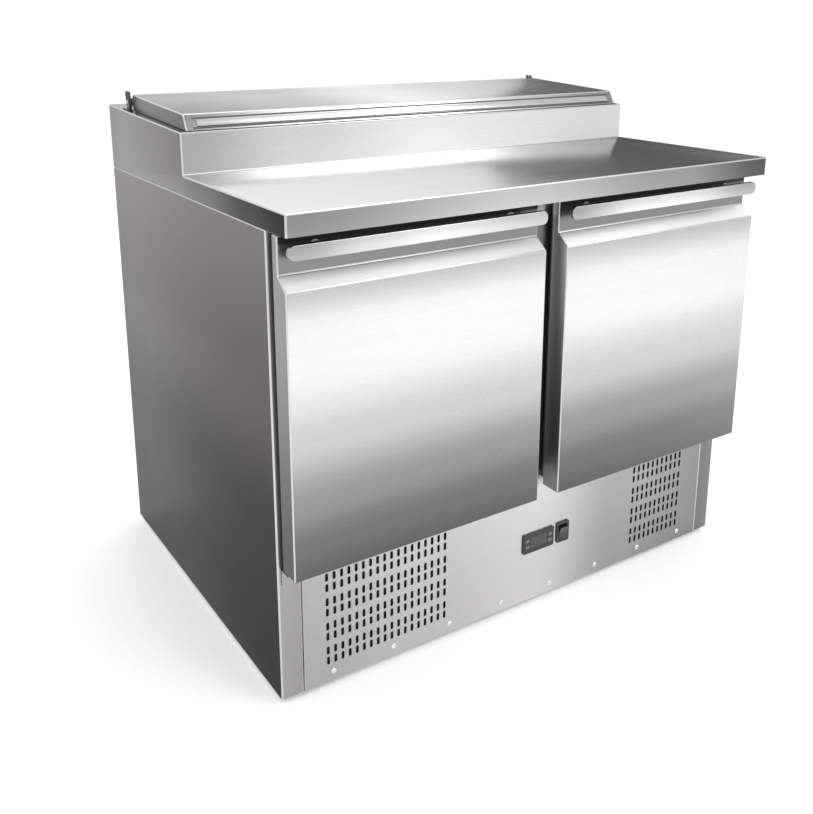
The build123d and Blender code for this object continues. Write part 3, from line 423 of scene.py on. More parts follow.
class Palette:
    """Every finish of the table, built once."""

    def __init__(self, half_width: float, doors_low: float, doors_high: float) -> None:
        """Builds the finishes.

        Args:
            half_width: Half the table's width.
            doors_low: Height of the lower edge of the doors.
            doors_high: Height of the upper edge of the doors.
        """
        w = half_width
        # Side panels: steel darkened to 0.30 with painted shade, darker towards the floor and towards the
        # front.
        self.side = BrushedSteel(
            "brushed_side", (0.30, 0.288, 0.284), Grain.UPRIGHT, 0.36, 0.06,
            (PaintedSweep(2, 0.0, 0.75, ((0.0, 0.085), (0.35, 0.20), (0.65, 0.52), (1.0, 1.0))),
             PaintedSweep(1, -0.30, 0.35, ((0.0, 0.72), (1.0, 1.0)))), 0.74,
        ).make()
        # Worktop end cheeks: darker steel with painted shade, darkest towards the front.
        self.cheek = BrushedSteel(
            "brushed_cheek", (0.20, 0.194, 0.192), Grain.FRONT_TO_BACK, 0.34, 0.06,
            (PaintedSweep(1, -0.35, 0.05, ((0.0, 0.12), (0.30, 0.26), (0.65, 0.72), (1.0, 1.0))),),
        ).make()
        # Front flanges and hinge brackets: painted light, full at the left end and about half at the right
        # end.
        self.flange = BrushedSteel(
            "brushed_flange", (0.35, 0.342, 0.342), Grain.UPRIGHT, 0.32, 0.06,
            (PaintedSweep(0, -w, w, ((0.0, 1.0), (1.0, 0.52))),),
        ).make()
        # Door fronts: painted light and shade, darkest at the bottom, brightest high up and dimmer again
        # just under the top.
        self.door = BrushedSteel(
            "brushed_door", (0.70, 0.70, 0.70), Grain.ACROSS, 0.27, 0.09,
            (PaintedSweep(2, doors_low, doors_high, (
                (0.0, 0.17), (0.10, 0.22), (0.24, 0.37), (0.42, 0.68),
                (0.62, 0.98), (0.74, 1.0), (0.86, 0.66),
            )),),
        ).make()
        # Worktop: painted reflection and shade, bright at the left, dimming to the right and near black at
        # the right end.
        self.worktop = BrushedSteel(
            "polished_worktop", (0.78, 0.78, 0.78), Grain.ACROSS, 0.20, 0.05,
            (PaintedSweep(0, -w, w, (
                (0.0, 1.0), (0.35, 0.92), (0.60, 0.88), (0.74, 0.80), (0.93, 0.60), (1.0, 0.02),
            )),), 0.85,
        ).make()
        # Worktop front edge: painted light, brightest left of the middle and darker towards both ends.
        self.worktop_edge = BrushedSteel(
            "brushed_worktop_edge", (0.54, 0.54, 0.54), Grain.ACROSS, 0.30, 0.06,
            (PaintedSweep(0, -w, w, ((0.0, 0.48), (0.40, 0.98), (0.75, 0.60), (1.0, 0.16))),),
        ).make()
        # Front wall of the hood: painted light, darker at the left end and brightest in the middle.
        self.hood = BrushedSteel(
            "brushed_hood", (0.82, 0.825, 0.825), Grain.ACROSS, 0.27, 0.06,
            (PaintedSweep(0, -w, w, ((0.0, 0.48), (0.22, 0.78), (0.50, 1.0), (1.0, 0.78))),),
        ).make()
        # Lid top: painted light, brightest near the middle and darker towards both ends.
        self.lid = BrushedSteel(
            "brushed_lid", (0.74, 0.735, 0.725), Grain.ACROSS, 0.27, 0.07,
            (PaintedSweep(0, -w, w, ((0.0, 0.28), (0.25, 0.52), (0.48, 1.0), (0.68, 0.70), (1.0, 0.32))),),
        ).make()
        # Front cover: painted light, brightest in the middle and darkest at the right end.
        self.kick = BrushedSteel(
            "brushed_kick", (0.62, 0.61, 0.61), Grain.ACROSS, 0.30, 0.06,
            (PaintedSweep(0, -w, w, ((0.0, 0.66), (0.28, 0.84), (0.52, 1.0), (0.72, 0.58), (1.0, 0.38))),),
        ).make()
        self.plain = BrushedSteel("brushed_plain", (0.48, 0.48, 0.475), Grain.ACROSS, 0.32, 0.08).make()
        # Centre mullion: steel darkened to 0.20, painted shade between the doors.
        self.upright = BrushedSteel("brushed_upright", (0.20, 0.20, 0.20), Grain.UPRIGHT, 0.34, 0.08).make()
        # Hand recess wall: darker steel with painted shade, near black in its upper part above the handle
        # bar.
        self.recess = BrushedSteel(
            "brushed_recess", (0.255, 0.255, 0.255), Grain.ACROSS, 0.30, 0.05,
            (PaintedSweep(2, doors_high - RECESS_HEIGHT, doors_high, (
                (0.0, 1.0), (0.70, 1.0), (0.82, 0.10), (1.0, 0.04),
            )),),
        ).make()
        # Door edges: brightened steel with painted light, brightest where the doors meet and darker towards
        # the bottom.
        self.door_side = BrushedSteel(
            "brushed_door_side", (0.85, 0.85, 0.85), Grain.UPRIGHT, 0.36, 0.06,
            (PaintedSweep(0, -w, w, ((0.0, 0.34), (0.30, 0.34), (0.48, 1.0), (0.54, 1.0), (0.70, 0.34))),
             PaintedSweep(2, doors_low, doors_high, ((0.0, 0.30), (0.9, 1.0)))),
        ).make()
        self.dark = BrushedSteel("shaded_steel", (0.16, 0.16, 0.16), Grain.UPRIGHT, 0.36, 0.08).make()
        self.inside = BrushedSteel("lining_steel", (0.66, 0.665, 0.67), Grain.UPRIGHT, 0.36, 0.05).make()
        # Rounded folds and cut edges: a lighter steel as painted highlight.
        self.bright = BrushedSteel("painted_highlight_fold", (0.56, 0.56, 0.56), Grain.ACROSS, 0.30, 0.03).make()
        # Handle bars: painted highlights and shade along their length.
        self.handle = BrushedSteel(
            "brushed_handle", (0.72, 0.725, 0.725), Grain.ACROSS, 0.30, 0.05,
            (PaintedSweep(0, -w, w, (
                (0.03, 0.50), (0.14, 0.82), (0.25, 1.0), (0.45, 0.72),
                (0.53, 0.50), (0.68, 0.95), (0.80, 1.0), (0.97, 0.55),
            )),),
        ).make()
        self.lip = BrushedSteel("brushed_lip", (0.46, 0.46, 0.455), Grain.ACROSS, 0.28, 0.05).make()
        # Sloped band of the doors: lighter than the door steel as painted light, and rougher.
        self.band = BrushedSteel("brushed_band", (0.76, 0.76, 0.76), Grain.ACROSS, 0.62, 0.05).make()
        self.screw = BrushedSteel("turned_screw", (0.78, 0.78, 0.78), Grain.ACROSS, 0.22, 0.05).make()
        self.black = Moulded("black_plastic", (0.012, 0.012, 0.013), 0.38).make()
        self.gloss = Moulded("glossy_black_plastic", (0.010, 0.010, 0.011), 0.16, 900.0, 0.04, 0.4).make()
        self.key = Moulded("key_plastic", (0.11, 0.11, 0.115), 0.42).make()
        self.window = Moulded("display_window", (0.006, 0.006, 0.008), 0.10, 300.0, 0.02, 0.8).make()
        self.rubber = Moulded("black_rubber", (0.018, 0.018, 0.018), 0.62, 500.0, 0.3).make()
        self.seal = Moulded("door_seal", (0.045, 0.045, 0.047), 0.55, 600.0, 0.2).make()
        self.white = Moulded("white_nylon", (0.72, 0.72, 0.70), 0.45).make()
        self.grey = Moulded("grey_plastic", (0.22, 0.225, 0.23), 0.50).make()
        self.enamel = Moulded("black_enamel", (0.012, 0.012, 0.013), 0.30, 250.0, 0.10, 0.3).make()
        self.motor = Moulded("motor_enamel", (0.05, 0.05, 0.055), 0.35, 300.0, 0.10, 0.2).make()
        self.fins = BareMetal("fin_aluminium", (0.74, 0.75, 0.76), (0.60, 0.61, 0.62), 60.0, 0.35).make()
        self.copper = BareMetal("copper_pipe", (0.80, 0.42, 0.26), (0.60, 0.28, 0.16), 40.0, 0.32).make()
        self.zinc = BareMetal("galvanised_sheet", (0.60, 0.61, 0.63), (0.44, 0.45, 0.47), 45.0, 0.42).make()
        self.foam = FoamBlock("foam").make()
        self.filter = FilterMesh("filter_mesh").make()
        self.floor = PaleFloor("pale_floor").make()
        self.card = Moulded("grey_card", (0.07, 0.07, 0.07), 0.9, 40.0).make()


# ---- modelling --------------------------------------------------------------------------------
def deselect() -> None:
    """Leaves object mode with nothing selected."""
    if bpy.context.object and bpy.context.object.mode != "OBJECT":
        bpy.ops.object.mode_set(mode="OBJECT")
    bpy.ops.object.select_all(action="DESELECT")


def take(piece: bpy.types.Object) -> None:
    """Makes one piece the only selected and active one."""
    deselect()
    piece.select_set(True)
    bpy.context.view_layer.objects.active = piece


def settle(piece: bpy.types.Object, name: str) -> bpy.types.Object:
    """Names a piece and applies its place, turn and size to its mesh.

    Args:
        piece: The object.
        name: Its final name.

    Returns:
        The same object.
    """
    take(piece)
    bpy.ops.object.transform_apply(location=True, rotation=True, scale=True)
    piece.name = name
    piece.data.name = name
    return piece


def pick_faces(piece: bpy.types.Object, wanted: Callable[[bpy.types.MeshPolygon], bool]) -> None:
    """Enters edit mode with only the wanted faces selected.

    Args:
        piece: The object to edit.
        wanted: Says of a face whether it is picked.
    """
    take(piece)
    bpy.ops.object.mode_set(mode="EDIT")
    bpy.ops.mesh.select_mode(type="FACE")
    bpy.ops.mesh.select_all(action="DESELECT")
    bpy.ops.object.mode_set(mode="OBJECT")
    for face in piece.data.polygons:
        face.select = wanted(face)
    bpy.ops.object.mode_set(mode="EDIT")


def leave() -> None:
    """Ends edit mode."""
    bpy.ops.object.mode_set(mode="OBJECT")


def facing(direction: Point, limit: float = 0.9) -> Callable[[bpy.types.MeshPolygon], bool]:
    """A test for faces that look one way.

    Args:
        direction: The way they look.
        limit: How closely, as the cosine of the angle between.

    Returns:
        The test.
    """
    towards = Vector(direction)
    return lambda face: face.normal.dot(towards) > limit


def block(name: str, low: Point, high: Point) -> bpy.types.Object:
    """A box between two corners, ready to shape.

    Args:
        name: The new object's name.
        low: Its lowest corner.
        high: Its highest corner.

    Returns:
        The new object.
    """
    deselect()
    middle = [(a + b) / 2 for a, b in zip(low, high)]
    size = [b - a for a, b in zip(low, high)]
    bpy.ops.mesh.primitive_cube_add(size=1.0, location=middle, scale=size)
    return settle(bpy.context.object, name)


def prism(name: str, outline: Sequence[Flat], axis: int, start: float, end: float) -> bpy.types.Object:
    """A straight bar with any outline.

    Args:
        name: The new object's name.
        outline: Its corners on the two axes that aren't its length, in X, Y, Z order.
        axis: The axis it runs along.
        start: Where it begins on that axis.
        end: Where it ends.

    Returns:
        The new object.
    """
    deselect()
    bpy.ops.mesh.primitive_circle_add(vertices=len(outline), radius=1.0, fill_type="NGON")
    piece = bpy.context.object
    others = [index for index in range(3) if index != axis]
    for vertex, corner in zip(piece.data.vertices, outline):
        vertex.co[axis] = start
        vertex.co[others[0]] = corner[0]
        vertex.co[others[1]] = corner[1]
    step = [0.0, 0.0, 0.0]
    step[axis] = end - start
    bpy.ops.object.mode_set(mode="EDIT")
    bpy.ops.mesh.select_all(action="SELECT")
    bpy.ops.mesh.extrude_region_move(TRANSFORM_OT_translate={"value": step})
    bpy.ops.mesh.select_all(action="SELECT")
    bpy.ops.mesh.normals_make_consistent(inside=False)
    leave()
    return settle(piece, name)


def rod(name: str, start: Point, end: Point, radius: float, sides: int = 24) -> bpy.types.Object:
    """A round bar between two points.

    Args:
        name: The new object's name.
        start: Middle of one end.
        end: Middle of the other.
        radius: Its radius.
        sides: How many sides its circle has.

    Returns:
        The new object.
    """
    deselect()
    run = Vector(end) - Vector(start)
    middle = (Vector(end) + Vector(start)) / 2
    turn = run.to_track_quat("Z", "Y").to_euler()
    bpy.ops.mesh.primitive_cylinder_add(
        vertices=sides, radius=radius, depth=run.length, location=middle, rotation=turn
    )
    return settle(bpy.context.object, name)


def modify(piece: bpy.types.Object, kind: str, settings: dict) -> None:
    """Adds a modifier and applies it.

    Args:
        piece: The object.
        kind: The modifier's type.
        settings: Its properties.
    """
    take(piece)
    made = piece.modifiers.new(kind, kind)
    for key, value in settings.items():
        setattr(made, key, value)
    bpy.ops.object.modifier_apply(modifier=made.name)


def round_edges(piece: bpy.types.Object, width: float, steps: int = FOLD_STEPS, finish: int = -1) -> None:
    """Rounds every sharp edge.

    Args:
        piece: The object.
        width: How far the rounding reaches from the edge.
        steps: How many faces it takes.
        finish: Material slot of the new faces, or -1 for their neighbours' own.
    """
    modify(piece, "BEVEL", {
        "width": width, "segments": steps, "limit_method": "ANGLE",
        "angle_limit": math.radians(30), "material": finish, "miter_outer": "MITER_ARC",
    })


def thicken(piece: bpy.types.Object, thickness: float = SHEET, rim: int = 0) -> None:
    """Gives a folded sheet its thickness, inwards.

    Args:
        piece: The sheet.
        thickness: How thick it gets.
        rim: How many material slots later the cut edges take their finish.
    """
    modify(piece, "SOLIDIFY", {
        "thickness": thickness, "offset": -1.0, "use_even_offset": True, "material_offset_rim": rim,
    })


def smooth(piece: bpy.types.Object) -> None:
    """Shades the piece smooth, with creases at its corners."""
    take(piece)
    bpy.ops.object.shade_smooth_by_angle(angle=math.radians(35))


def drop_faces(piece: bpy.types.Object, wanted: Callable[[bpy.types.MeshPolygon], bool]) -> None:
    """Deletes the wanted faces.

    Args:
        piece: The object.
        wanted: Says of a face whether it goes.
    """
    pick_faces(piece, wanted)
    bpy.ops.mesh.delete(type="FACE")
    leave()


def dress(piece: bpy.types.Object, *finishes: bpy.types.Material) -> bpy.types.Object:
    """Gives a piece its materials, the first one all over.

    Args:
        piece: The object.
        finishes: Its materials in slot order.

    Returns:
        The same object.
    """
    piece.data.materials.clear()
    for finish in finishes:
        piece.data.materials.append(finish)
    return piece


def paint(piece: bpy.types.Object, index: int, wanted: Callable[[bpy.types.MeshPolygon], bool]) -> None:
    """Puts one of the piece's materials on the wanted faces.

    Args:
        piece: The object.
        index: The material slot.
        wanted: Says of a face whether it takes it.
    """
    for face in piece.data.polygons:
        if wanted(face):
            face.material_index = index


def join(name: str, pieces: Sequence[bpy.types.Object]) -> bpy.types.Object:
    """Joins pieces into one.

    Args:
        name: The joined object's name.
        pieces: The objects, of which the first stays.

    Returns:
        The joined object.
    """
    deselect()
    for piece in pieces:
        piece.select_set(True)
    bpy.context.view_layer.objects.active = pieces[0]
    bpy.ops.object.join()
    return settle(bpy.context.object, name)


def seat(piece: bpy.types.Object, body: str, nodes: Sequence[str] = ()) -> None:
    """Hangs a finished piece on its body and reports it.

    Args:
        piece: The finished piece.
        body: The CAD body it moves with.
        nodes: CAD nodes that it stands for.
    """
    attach(piece, body)
    if nodes:
        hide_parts(*nodes)
    log.info("%s on %s: %d faces", piece.name, body, len(piece.data.polygons))


# ---- casing -----------------------------------------------------------------------------------
@dataclass
class Casing:
    """Side panels, screws on the rear vent cover and filter pads behind the front cover."""

    finishes: Palette
    panel: tuple[Vector, Vector] = field(default_factory=lambda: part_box("right_side_panel"))
    kick: tuple[Vector, Vector] = field(default_factory=lambda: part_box("kick_panel"))
    screw_pitch: float = 0.19
    screw_inset: float = 0.012
    screw_radius: float = 0.0045
    screw_sunk: float = 0.0005
    screw_proud: float = 0.0011
    left_filter: Flat = (-0.386, -0.152)
    right_filter: Flat = (0.232, 0.372)
    filter_gap: float = 0.002
    filter_thickness: float = 0.004
    filter_inset: float = 0.012

    def build(self) -> None:
        """Builds every piece of the casing."""
        self.side(-1.0, "left")
        self.side(1.0, "right")
        self.back_screws()
        self.filters()

    def side(self, hand: float, word: str) -> None:
        """One side panel: flat web, front and rear flanges, with painted highlights on its rounded folds and
        cut edges.

        Args:
            hand: -1 for the left, 1 for the right.
            word: left or right.
        """
        low, high = self.panel
        inner = low.x
        outer = high.x
        outline = [
            (outer * hand, low.y), (outer * hand, high.y), (inner * hand, high.y), (inner * hand, low.y),
        ]
        panel = prism(f"{word}_side", outline, 2, low.z, high.z)
        dress(panel, self.finishes.side, self.finishes.bright, self.finishes.flange, self.finishes.bright)
        paint(panel, 2, lambda face: abs(face.normal.y) > 0.9)
        # The rounded folds and the cut edges take the painted highlight.
        round_edges(panel, FOLD, FOLD_STEPS, 1)
        drop_faces(panel, lambda face: abs(face.normal.z) > 0.99 or face.normal.x * hand < -0.99)
        thicken(panel, rim=1)
        smooth(panel)
        seat(panel, "cabinet", [f"{word}_side_panel"])

    def back_screws(self) -> None:
        """Pan-head screws along the lower and upper edge of the rear vent cover."""
        low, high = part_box("rear_grille")
        columns = [step * self.screw_pitch for step in range(-2, 3)]
        rows = (low.z + self.screw_inset, high.z - self.screw_inset)
        heads = [self.screw(x, high.y, z) for z in rows for x in columns]
        screws = join("rear_cover_screws", heads)
        dress(screws, self.finishes.screw)
        smooth(screws)
        seat(screws, "cabinet")

    def screw(self, x: float, y: float, z: float) -> bpy.types.Object:
        """One low domed screw head facing the rear.

        Args:
            x: Its middle across.
            y: The face it sits on.
            z: Its middle in height.

        Returns:
            The head.
        """
        base = (x, y - self.screw_sunk, z)
        crown = (x, y + self.screw_proud, z)
        head = rod("cover_screw", base, crown, self.screw_radius, 16)
        round_edges(head, 0.0007, 2)
        return head

    def filters(self) -> None:
        """Black filter pads behind the two grilles of the front cover."""
        low, high = self.kick
        front = high.y + self.filter_gap
        rear = front + self.filter_thickness
        for word, (x0, x1) in (("left", self.left_filter), ("right", self.right_filter)):
            lowest = (x0, front, low.z + self.filter_inset)
            highest = (x1, rear, high.z - self.filter_inset)
            pad = block(f"{word}_filter", lowest, highest)
            round_edges(pad, 0.0012, 2)
            # The pads are near black so the slots read dark: partly the filter's own colour, partly painted
            # shade.
            dress(pad, self.finishes.filter)
            smooth(pad)
            seat(pad, "cabinet")


# ---- welded top -------------------------------------------------------------------------------
@dataclass
class WeldedTop:
    """Worktop, end cheeks, front wall, rim and roof strip, welded and ground into one."""

    finishes: Palette
    worktop: tuple[Vector, Vector] = field(default_factory=lambda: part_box("worktop"))
    cheeks: tuple[Vector, Vector] = field(default_factory=lambda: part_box("hood_cheeks"))
    front: tuple[Vector, Vector] = field(default_factory=lambda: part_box("hood_front"))
    roof: tuple[Vector, Vector] = field(default_factory=lambda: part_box("hood_roof"))

    def rim(self, y: float) -> float:
        """Height of the sloping rim.

        Args:
            y: Where along the depth.

        Returns:
            The height.
        """
        slope = (self.cheeks[1].z - self.front[1].z) / (self.cheeks[1].y - self.front[1].y)
        return self.front[1].z + (y - self.front[1].y) * slope

    def build(self) -> None:
        """Builds the top as one folded sheet with the pan opening cut in it."""
        half = self.cheeks[1].x
        y0 = self.worktop[0].y
        y1 = self.worktop[1].y
        y2 = self.cheeks[1].y
        z0 = self.worktop[0].z
        z1 = self.worktop[1].z
        outline = [(y0, z0), (y2, z0), (y2, self.rim(y2)), (y1, self.rim(y1)), (y1, z1), (y0, z1)]
        top = prism("welded_top", outline, 0, -half, half)
        opening = self.roof[1].x
        pick_faces(top, lambda face: face.normal.z > 0.9 and face.center.y > y1)
        bpy.ops.mesh.inset(thickness=half - opening)
        leave()
        hole = next(face for face in top.data.polygons if face.select)
        for index in hole.vertices:
            vertex = top.data.vertices[index]
            if vertex.co.y > (y1 + y2) / 2:
                vertex.co.y = self.roof[0].y
                vertex.co.z = self.rim(self.roof[0].y)
        number = hole.index
        drop_faces(top, lambda face: face.index == number)
        f = self.finishes
        dress(top, f.cheek, f.bright, f.worktop, f.worktop_edge, f.hood, f.lid)
        paint(top, 2, lambda face: face.normal.z > 0.9 and face.center.z < z1 + 0.01)
        paint(top, 3, lambda face: face.normal.y < -0.9 and face.center.y < y1 - 0.01)
        paint(top, 4, lambda face: face.normal.y < -0.9 and face.center.y > y1 - 0.01)
        paint(top, 5, lambda face: face.normal.z > 0.9 and face.center.z > z1 + 0.01)
        drop_faces(top, facing(DOWN, 0.99))
        # The rounded folds take the painted highlight.
        round_edges(top, FOLD, FOLD_STEPS, 1)
        drop_faces(top, facing(REARWARD, 0.99))
        thicken(top)
        smooth(top)
        seat(top, "cabinet", ["worktop", "hood_cheeks", "hood_front", "hood_roof"])
        self.underside()

    def underside(self) -> None:
        """Return flange under the front overhang."""
        y0 = self.worktop[0].y + SHEET / 2
        y1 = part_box("top_rail")[0].y
        half = self.worktop[1].x - SHEET / 2
        z = self.worktop[0].z
        plate = block("worktop_return", (-half, y0, z - SHEET / 4), (half, y1, z + SHEET / 2))
        # The dark shaded steel is painted shade under the overhang.
        dress(plate, self.finishes.dark)
        smooth(plate)
        seat(plate, "cabinet")


# ---- lid --------------------------------------------------------------------------------------
@dataclass
class Lid:
    """Sloped lid with its pull lip and pivot ears."""

    finishes: Palette
    top: WeldedTop
    skin: tuple[Vector, Vector] = field(default_factory=lambda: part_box("lid_inner_panel"))
    front_height: float = 0.024
    rear_height: float = 0.027
    front_slope: float = 0.014
    seat_gap: float = 0.0008
    front_gap: float = 0.005
    lid_fold: float = 0.0018
    lip_inset: float = 0.018
    lip_low: float = 0.0070
    lip_high: float = 0.0180
    lip_proud: float = 0.0020
    lip_sunk: float = 0.0006
    groove_inset: float = 0.012
    groove_sunk: float = 0.0004
    groove_proud: float = 0.0003
    upper_groove: Flat = (0.0195, 0.0222)
    lower_groove: Flat = (0.0038, 0.0062)
    pin_radius: float = 0.003
    pin_inside: float = 0.003
    pin_outside: float = 0.0058
    ear_reach: float = 0.005
    ear_rear: float = 0.005
    ear_front: float = 0.008
    ear_overlap: float = 0.002

    def build(self) -> None:
        """Builds the cover, the lip and the pivots."""
        half = self.skin[1].x + SHEET
        y1 = self.skin[1].y + SHEET
        y0 = self.top.worktop[1].y + self.front_gap
        rim = self.top.rim
        crest = y0 + self.front_slope
        outline = [
            (y0 + 0.0008, rim(y0) + self.seat_gap), (y1, rim(y1) + self.seat_gap),
            (y1, rim(y1) + self.rear_height), (crest, rim(crest) + self.front_height),
        ]
        cover = prism("lid_cover", outline, 0, -half, half)
        drop_faces(cover, facing(DOWN))
        dress(cover, self.finishes.lid, self.finishes.bright, self.finishes.dark)
        # The end walls take the dark shaded steel as painted shade.
        paint(cover, 2, lambda face: abs(face.normal.x) > 0.9)
        # The rounded folds take the painted highlight.
        round_edges(cover, self.lid_fold, FOLD_STEPS, 1)
        thicken(cover)
        smooth(cover)
        seat(cover, "lid", ["lid_skin"])
        self.lip(half, y0, crest)
        self.pivots(half, y1)

    def lip(self, half: float, y0: float, crest: float) -> None:
        """Pull lip along the sloped front, with dark strips above and below it as painted shade for the
        shadow gaps.

        Args:
            half: Half the lid's width.
            y0: Where the front of the lid starts.
            crest: Where its slope ends.
        """
        rim = self.top.rim(y0)
        run = crest - y0
        rise = self.front_height
        out = Vector((-rise, run)).normalized()
        along = Vector((run, rise)).normalized()

        def bar(low: float, high: float, sunk: float, proud: float) -> list[Flat]:
            """Four corners of a bar on the slope, from low to high along it.

            Args:
                low: Where it starts up the slope.
                high: Where it ends.
                sunk: How deep it goes in.
                proud: How far it stands out.

            Returns:
                The corners, Y and Z.
            """
            places = ((low, -sunk), (low, proud), (high, proud), (high, -sunk))
            spots = [Vector((y0, rim)) + along * up + out * off for up, off in places]
            return [(spot.x, spot.y) for spot in spots]

        outline = bar(self.lip_low, self.lip_high, self.lip_sunk, self.lip_proud)
        reach = half - self.lip_inset
        strip = prism("lid_pull_lip", outline, 0, -reach, reach)
        round_edges(strip, 0.0010, 2)
        dress(strip, self.finishes.lip)
        smooth(strip)
        seat(strip, "lid")
        # The groove strips are dark seal-coloured strips: painted shade for the shadow gaps.
        reach = half - self.groove_inset
        for word, (low, high) in (("upper", self.upper_groove), ("lower", self.lower_groove)):
            outline = bar(low, high, self.groove_sunk, self.groove_proud)
            groove = prism(f"lid_{word}_groove", outline, 0, -reach, reach)
            dress(groove, self.finishes.seal)
            seat(groove, "lid")

    def pivots(self, half: float, rear: float) -> None:
        """Ears and pins at the rear corners.

        Args:
            half: Half the lid's width.
            rear: The lid's rear edge.
        """
        joint = next(item for item in frame["joints"] if item["name"] == "lid_hinge")
        y, z = joint["pos_m"][1], joint["pos_m"][2]
        made = []
        for hand in (-1.0, 1.0):
            start = rear - self.ear_overlap
            outline = [
                (start, z - self.ear_front), (y, z - self.ear_rear), (y + self.ear_reach, z),
                (y, z + self.ear_rear), (start, z + self.ear_front),
            ]
            ear = prism("lid_ear", outline, 0, hand * (half - SHEET), hand * half)
            round_edges(ear, 0.0004, 2)
            inside = (hand * (half - self.pin_inside), y, z)
            outside = (hand * (half + self.pin_outside), y, z)
            pin = rod("lid_pin", inside, outside, self.pin_radius)
            round_edges(pin, 0.0005, 2)
            made += [ear, pin]
        pivots = join("lid_pivots", made)
        dress(pivots, self.finishes.plain)
        smooth(pivots)
        seat(pivots, "lid")


# ---- doors ------------------------------------------------------------------------------------
@dataclass
class Door:
    """One door: folded skin, seal and handle bar."""

    finishes: Palette
    word: str
    recess_height: float = RECESS_HEIGHT
    chamfer_rise: float = 0.018
    recess_depth: float = 0.022
    door_sheet: float = 0.001
    door_fold: float = 0.0018
    bar_depth: float = 0.008
    bar_corner: float = 0.0095
    corner_steps: int = 6
    post_inset: float = 0.05
    post_radius: float = 0.006
    foot_radius: float = 0.009
    foot_depth: float = 0.002
    seal_width: float = 0.012
    seal_groove: float = 0.0018

    def build(self) -> None:
        """Builds the pieces of this door."""
        self.skin()
        self.handle()
        self.seal()

    @property
    def body(self) -> str:
        """Name of the CAD body the door moves with."""
        return f"{self.word}_door"

    def skin(self) -> None:
        """Folded skin with its sloped band and hand recess."""
        low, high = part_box(f"{self.word}_door_skin")
        wall = low.y + self.recess_depth
        bend = high.z - self.recess_height
        outline = [
            (low.y, low.z), (high.y, low.z), (high.y, high.z), (wall, high.z), (wall, bend),
            (low.y, bend - self.chamfer_rise),
        ]
        skin = prism(f"{self.word}_door_shell", outline, 0, low.x, high.x)
        drop_faces(skin, facing(REARWARD))
        f = self.finishes
        dress(skin, f.door, f.bright, f.door_side, f.recess, f.band)
        # Top, bottom and side edges take the brightened door-side steel: painted light.
        paint(skin, 2, lambda face: abs(face.normal.z) > 0.9 or abs(face.normal.x) > 0.9)
        # The recess wall takes the recess steel: painted shade.
        paint(skin, 3, lambda face: face.normal.y < -0.9 and face.center.y > wall - 0.002)
        # The sloped band takes the lighter band steel: painted light.
        paint(skin, 4, lambda face: 0.3 < face.normal.z < 0.9)
        # The rounded folds take the painted highlight.
        round_edges(skin, self.door_fold, FOLD_STEPS, 1)
        # Folds facing down and forward go back to the door steel, without the painted highlight.
        paint(skin, 0, lambda face: face.normal.z < -0.1 and face.normal.y < -0.1)
        thicken(skin, self.door_sheet)
        smooth(skin)
        seat(skin, self.body, [f"{self.word}_door_skin"])

    def handle(self) -> None:
        """Flat bar with rounded ends on two posts."""
        low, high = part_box(f"{self.word}_door_handle")
        front_wall = low.y + self.bar_depth
        bar = prism("bar", self.bar_outline(low, high), 1, low.y, front_wall)
        round_edges(bar, 0.0016, 3)
        made = [bar]
        wall = high.y
        z = (low.z + high.z) / 2
        for x in (low.x + self.post_inset, high.x - self.post_inset):
            post = rod("post", (x, front_wall - 0.001, z), (x, wall, z), self.post_radius)
            foot = rod("foot", (x, wall - self.foot_depth, z), (x, wall, z), self.foot_radius)
            round_edges(foot, 0.0006, 2)
            made += [post, foot]
        handle = join(f"{self.word}_handle_bar", made)
        dress(handle, self.finishes.handle)
        smooth(handle)
        seat(handle, self.body, [f"{self.word}_door_handle"])

    def bar_outline(self, low: Vector, high: Vector) -> list[Flat]:
        """Outline of the bar, X and Z, with its corners rounded.

        Args:
            low: Lowest corner of the handle.
            high: Highest corner of the handle.

        Returns:
            The outline's points in order.
        """
        radius = self.bar_corner
        corners = [
            (high.x - radius, high.z - radius, 0), (low.x + radius, high.z - radius, 90),
            (low.x + radius, low.z + radius, 180), (high.x - radius, low.z + radius, 270),
        ]
        points = []
        for x, z, start in corners:
            for step in range(self.corner_steps + 1):
                turn = math.radians(start + step * 90 / self.corner_steps)
                points.append((x + radius * math.cos(turn), z + radius * math.sin(turn)))
        return points

    def seal(self) -> None:
        """Magnetic seal around the door, with a groove along its face."""
        low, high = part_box(f"{self.word}_door_gasket")
        ring = block(f"{self.word}_seal", low, high)
        drop_faces(ring, lambda face: face.normal.y < -0.9)
        pick_faces(ring, facing(REARWARD))
        bpy.ops.mesh.inset(thickness=self.seal_width)
        bpy.ops.mesh.extrude_region_move(TRANSFORM_OT_translate={"value": (0.0, low.y - high.y, 0.0)})
        bpy.ops.mesh.delete(type="FACE")
        leave()
        pick_faces(ring, facing(REARWARD))
        bpy.ops.mesh.inset(thickness=self.seal_width * 0.3)
        bpy.ops.transform.translate(value=(0.0, -self.seal_groove, 0.0))
        leave()
        round_edges(ring, 0.0008, 2)
        dress(ring, self.finishes.seal)
        smooth(ring)
        seat(ring, self.body, [f"{self.word}_door_gasket"])


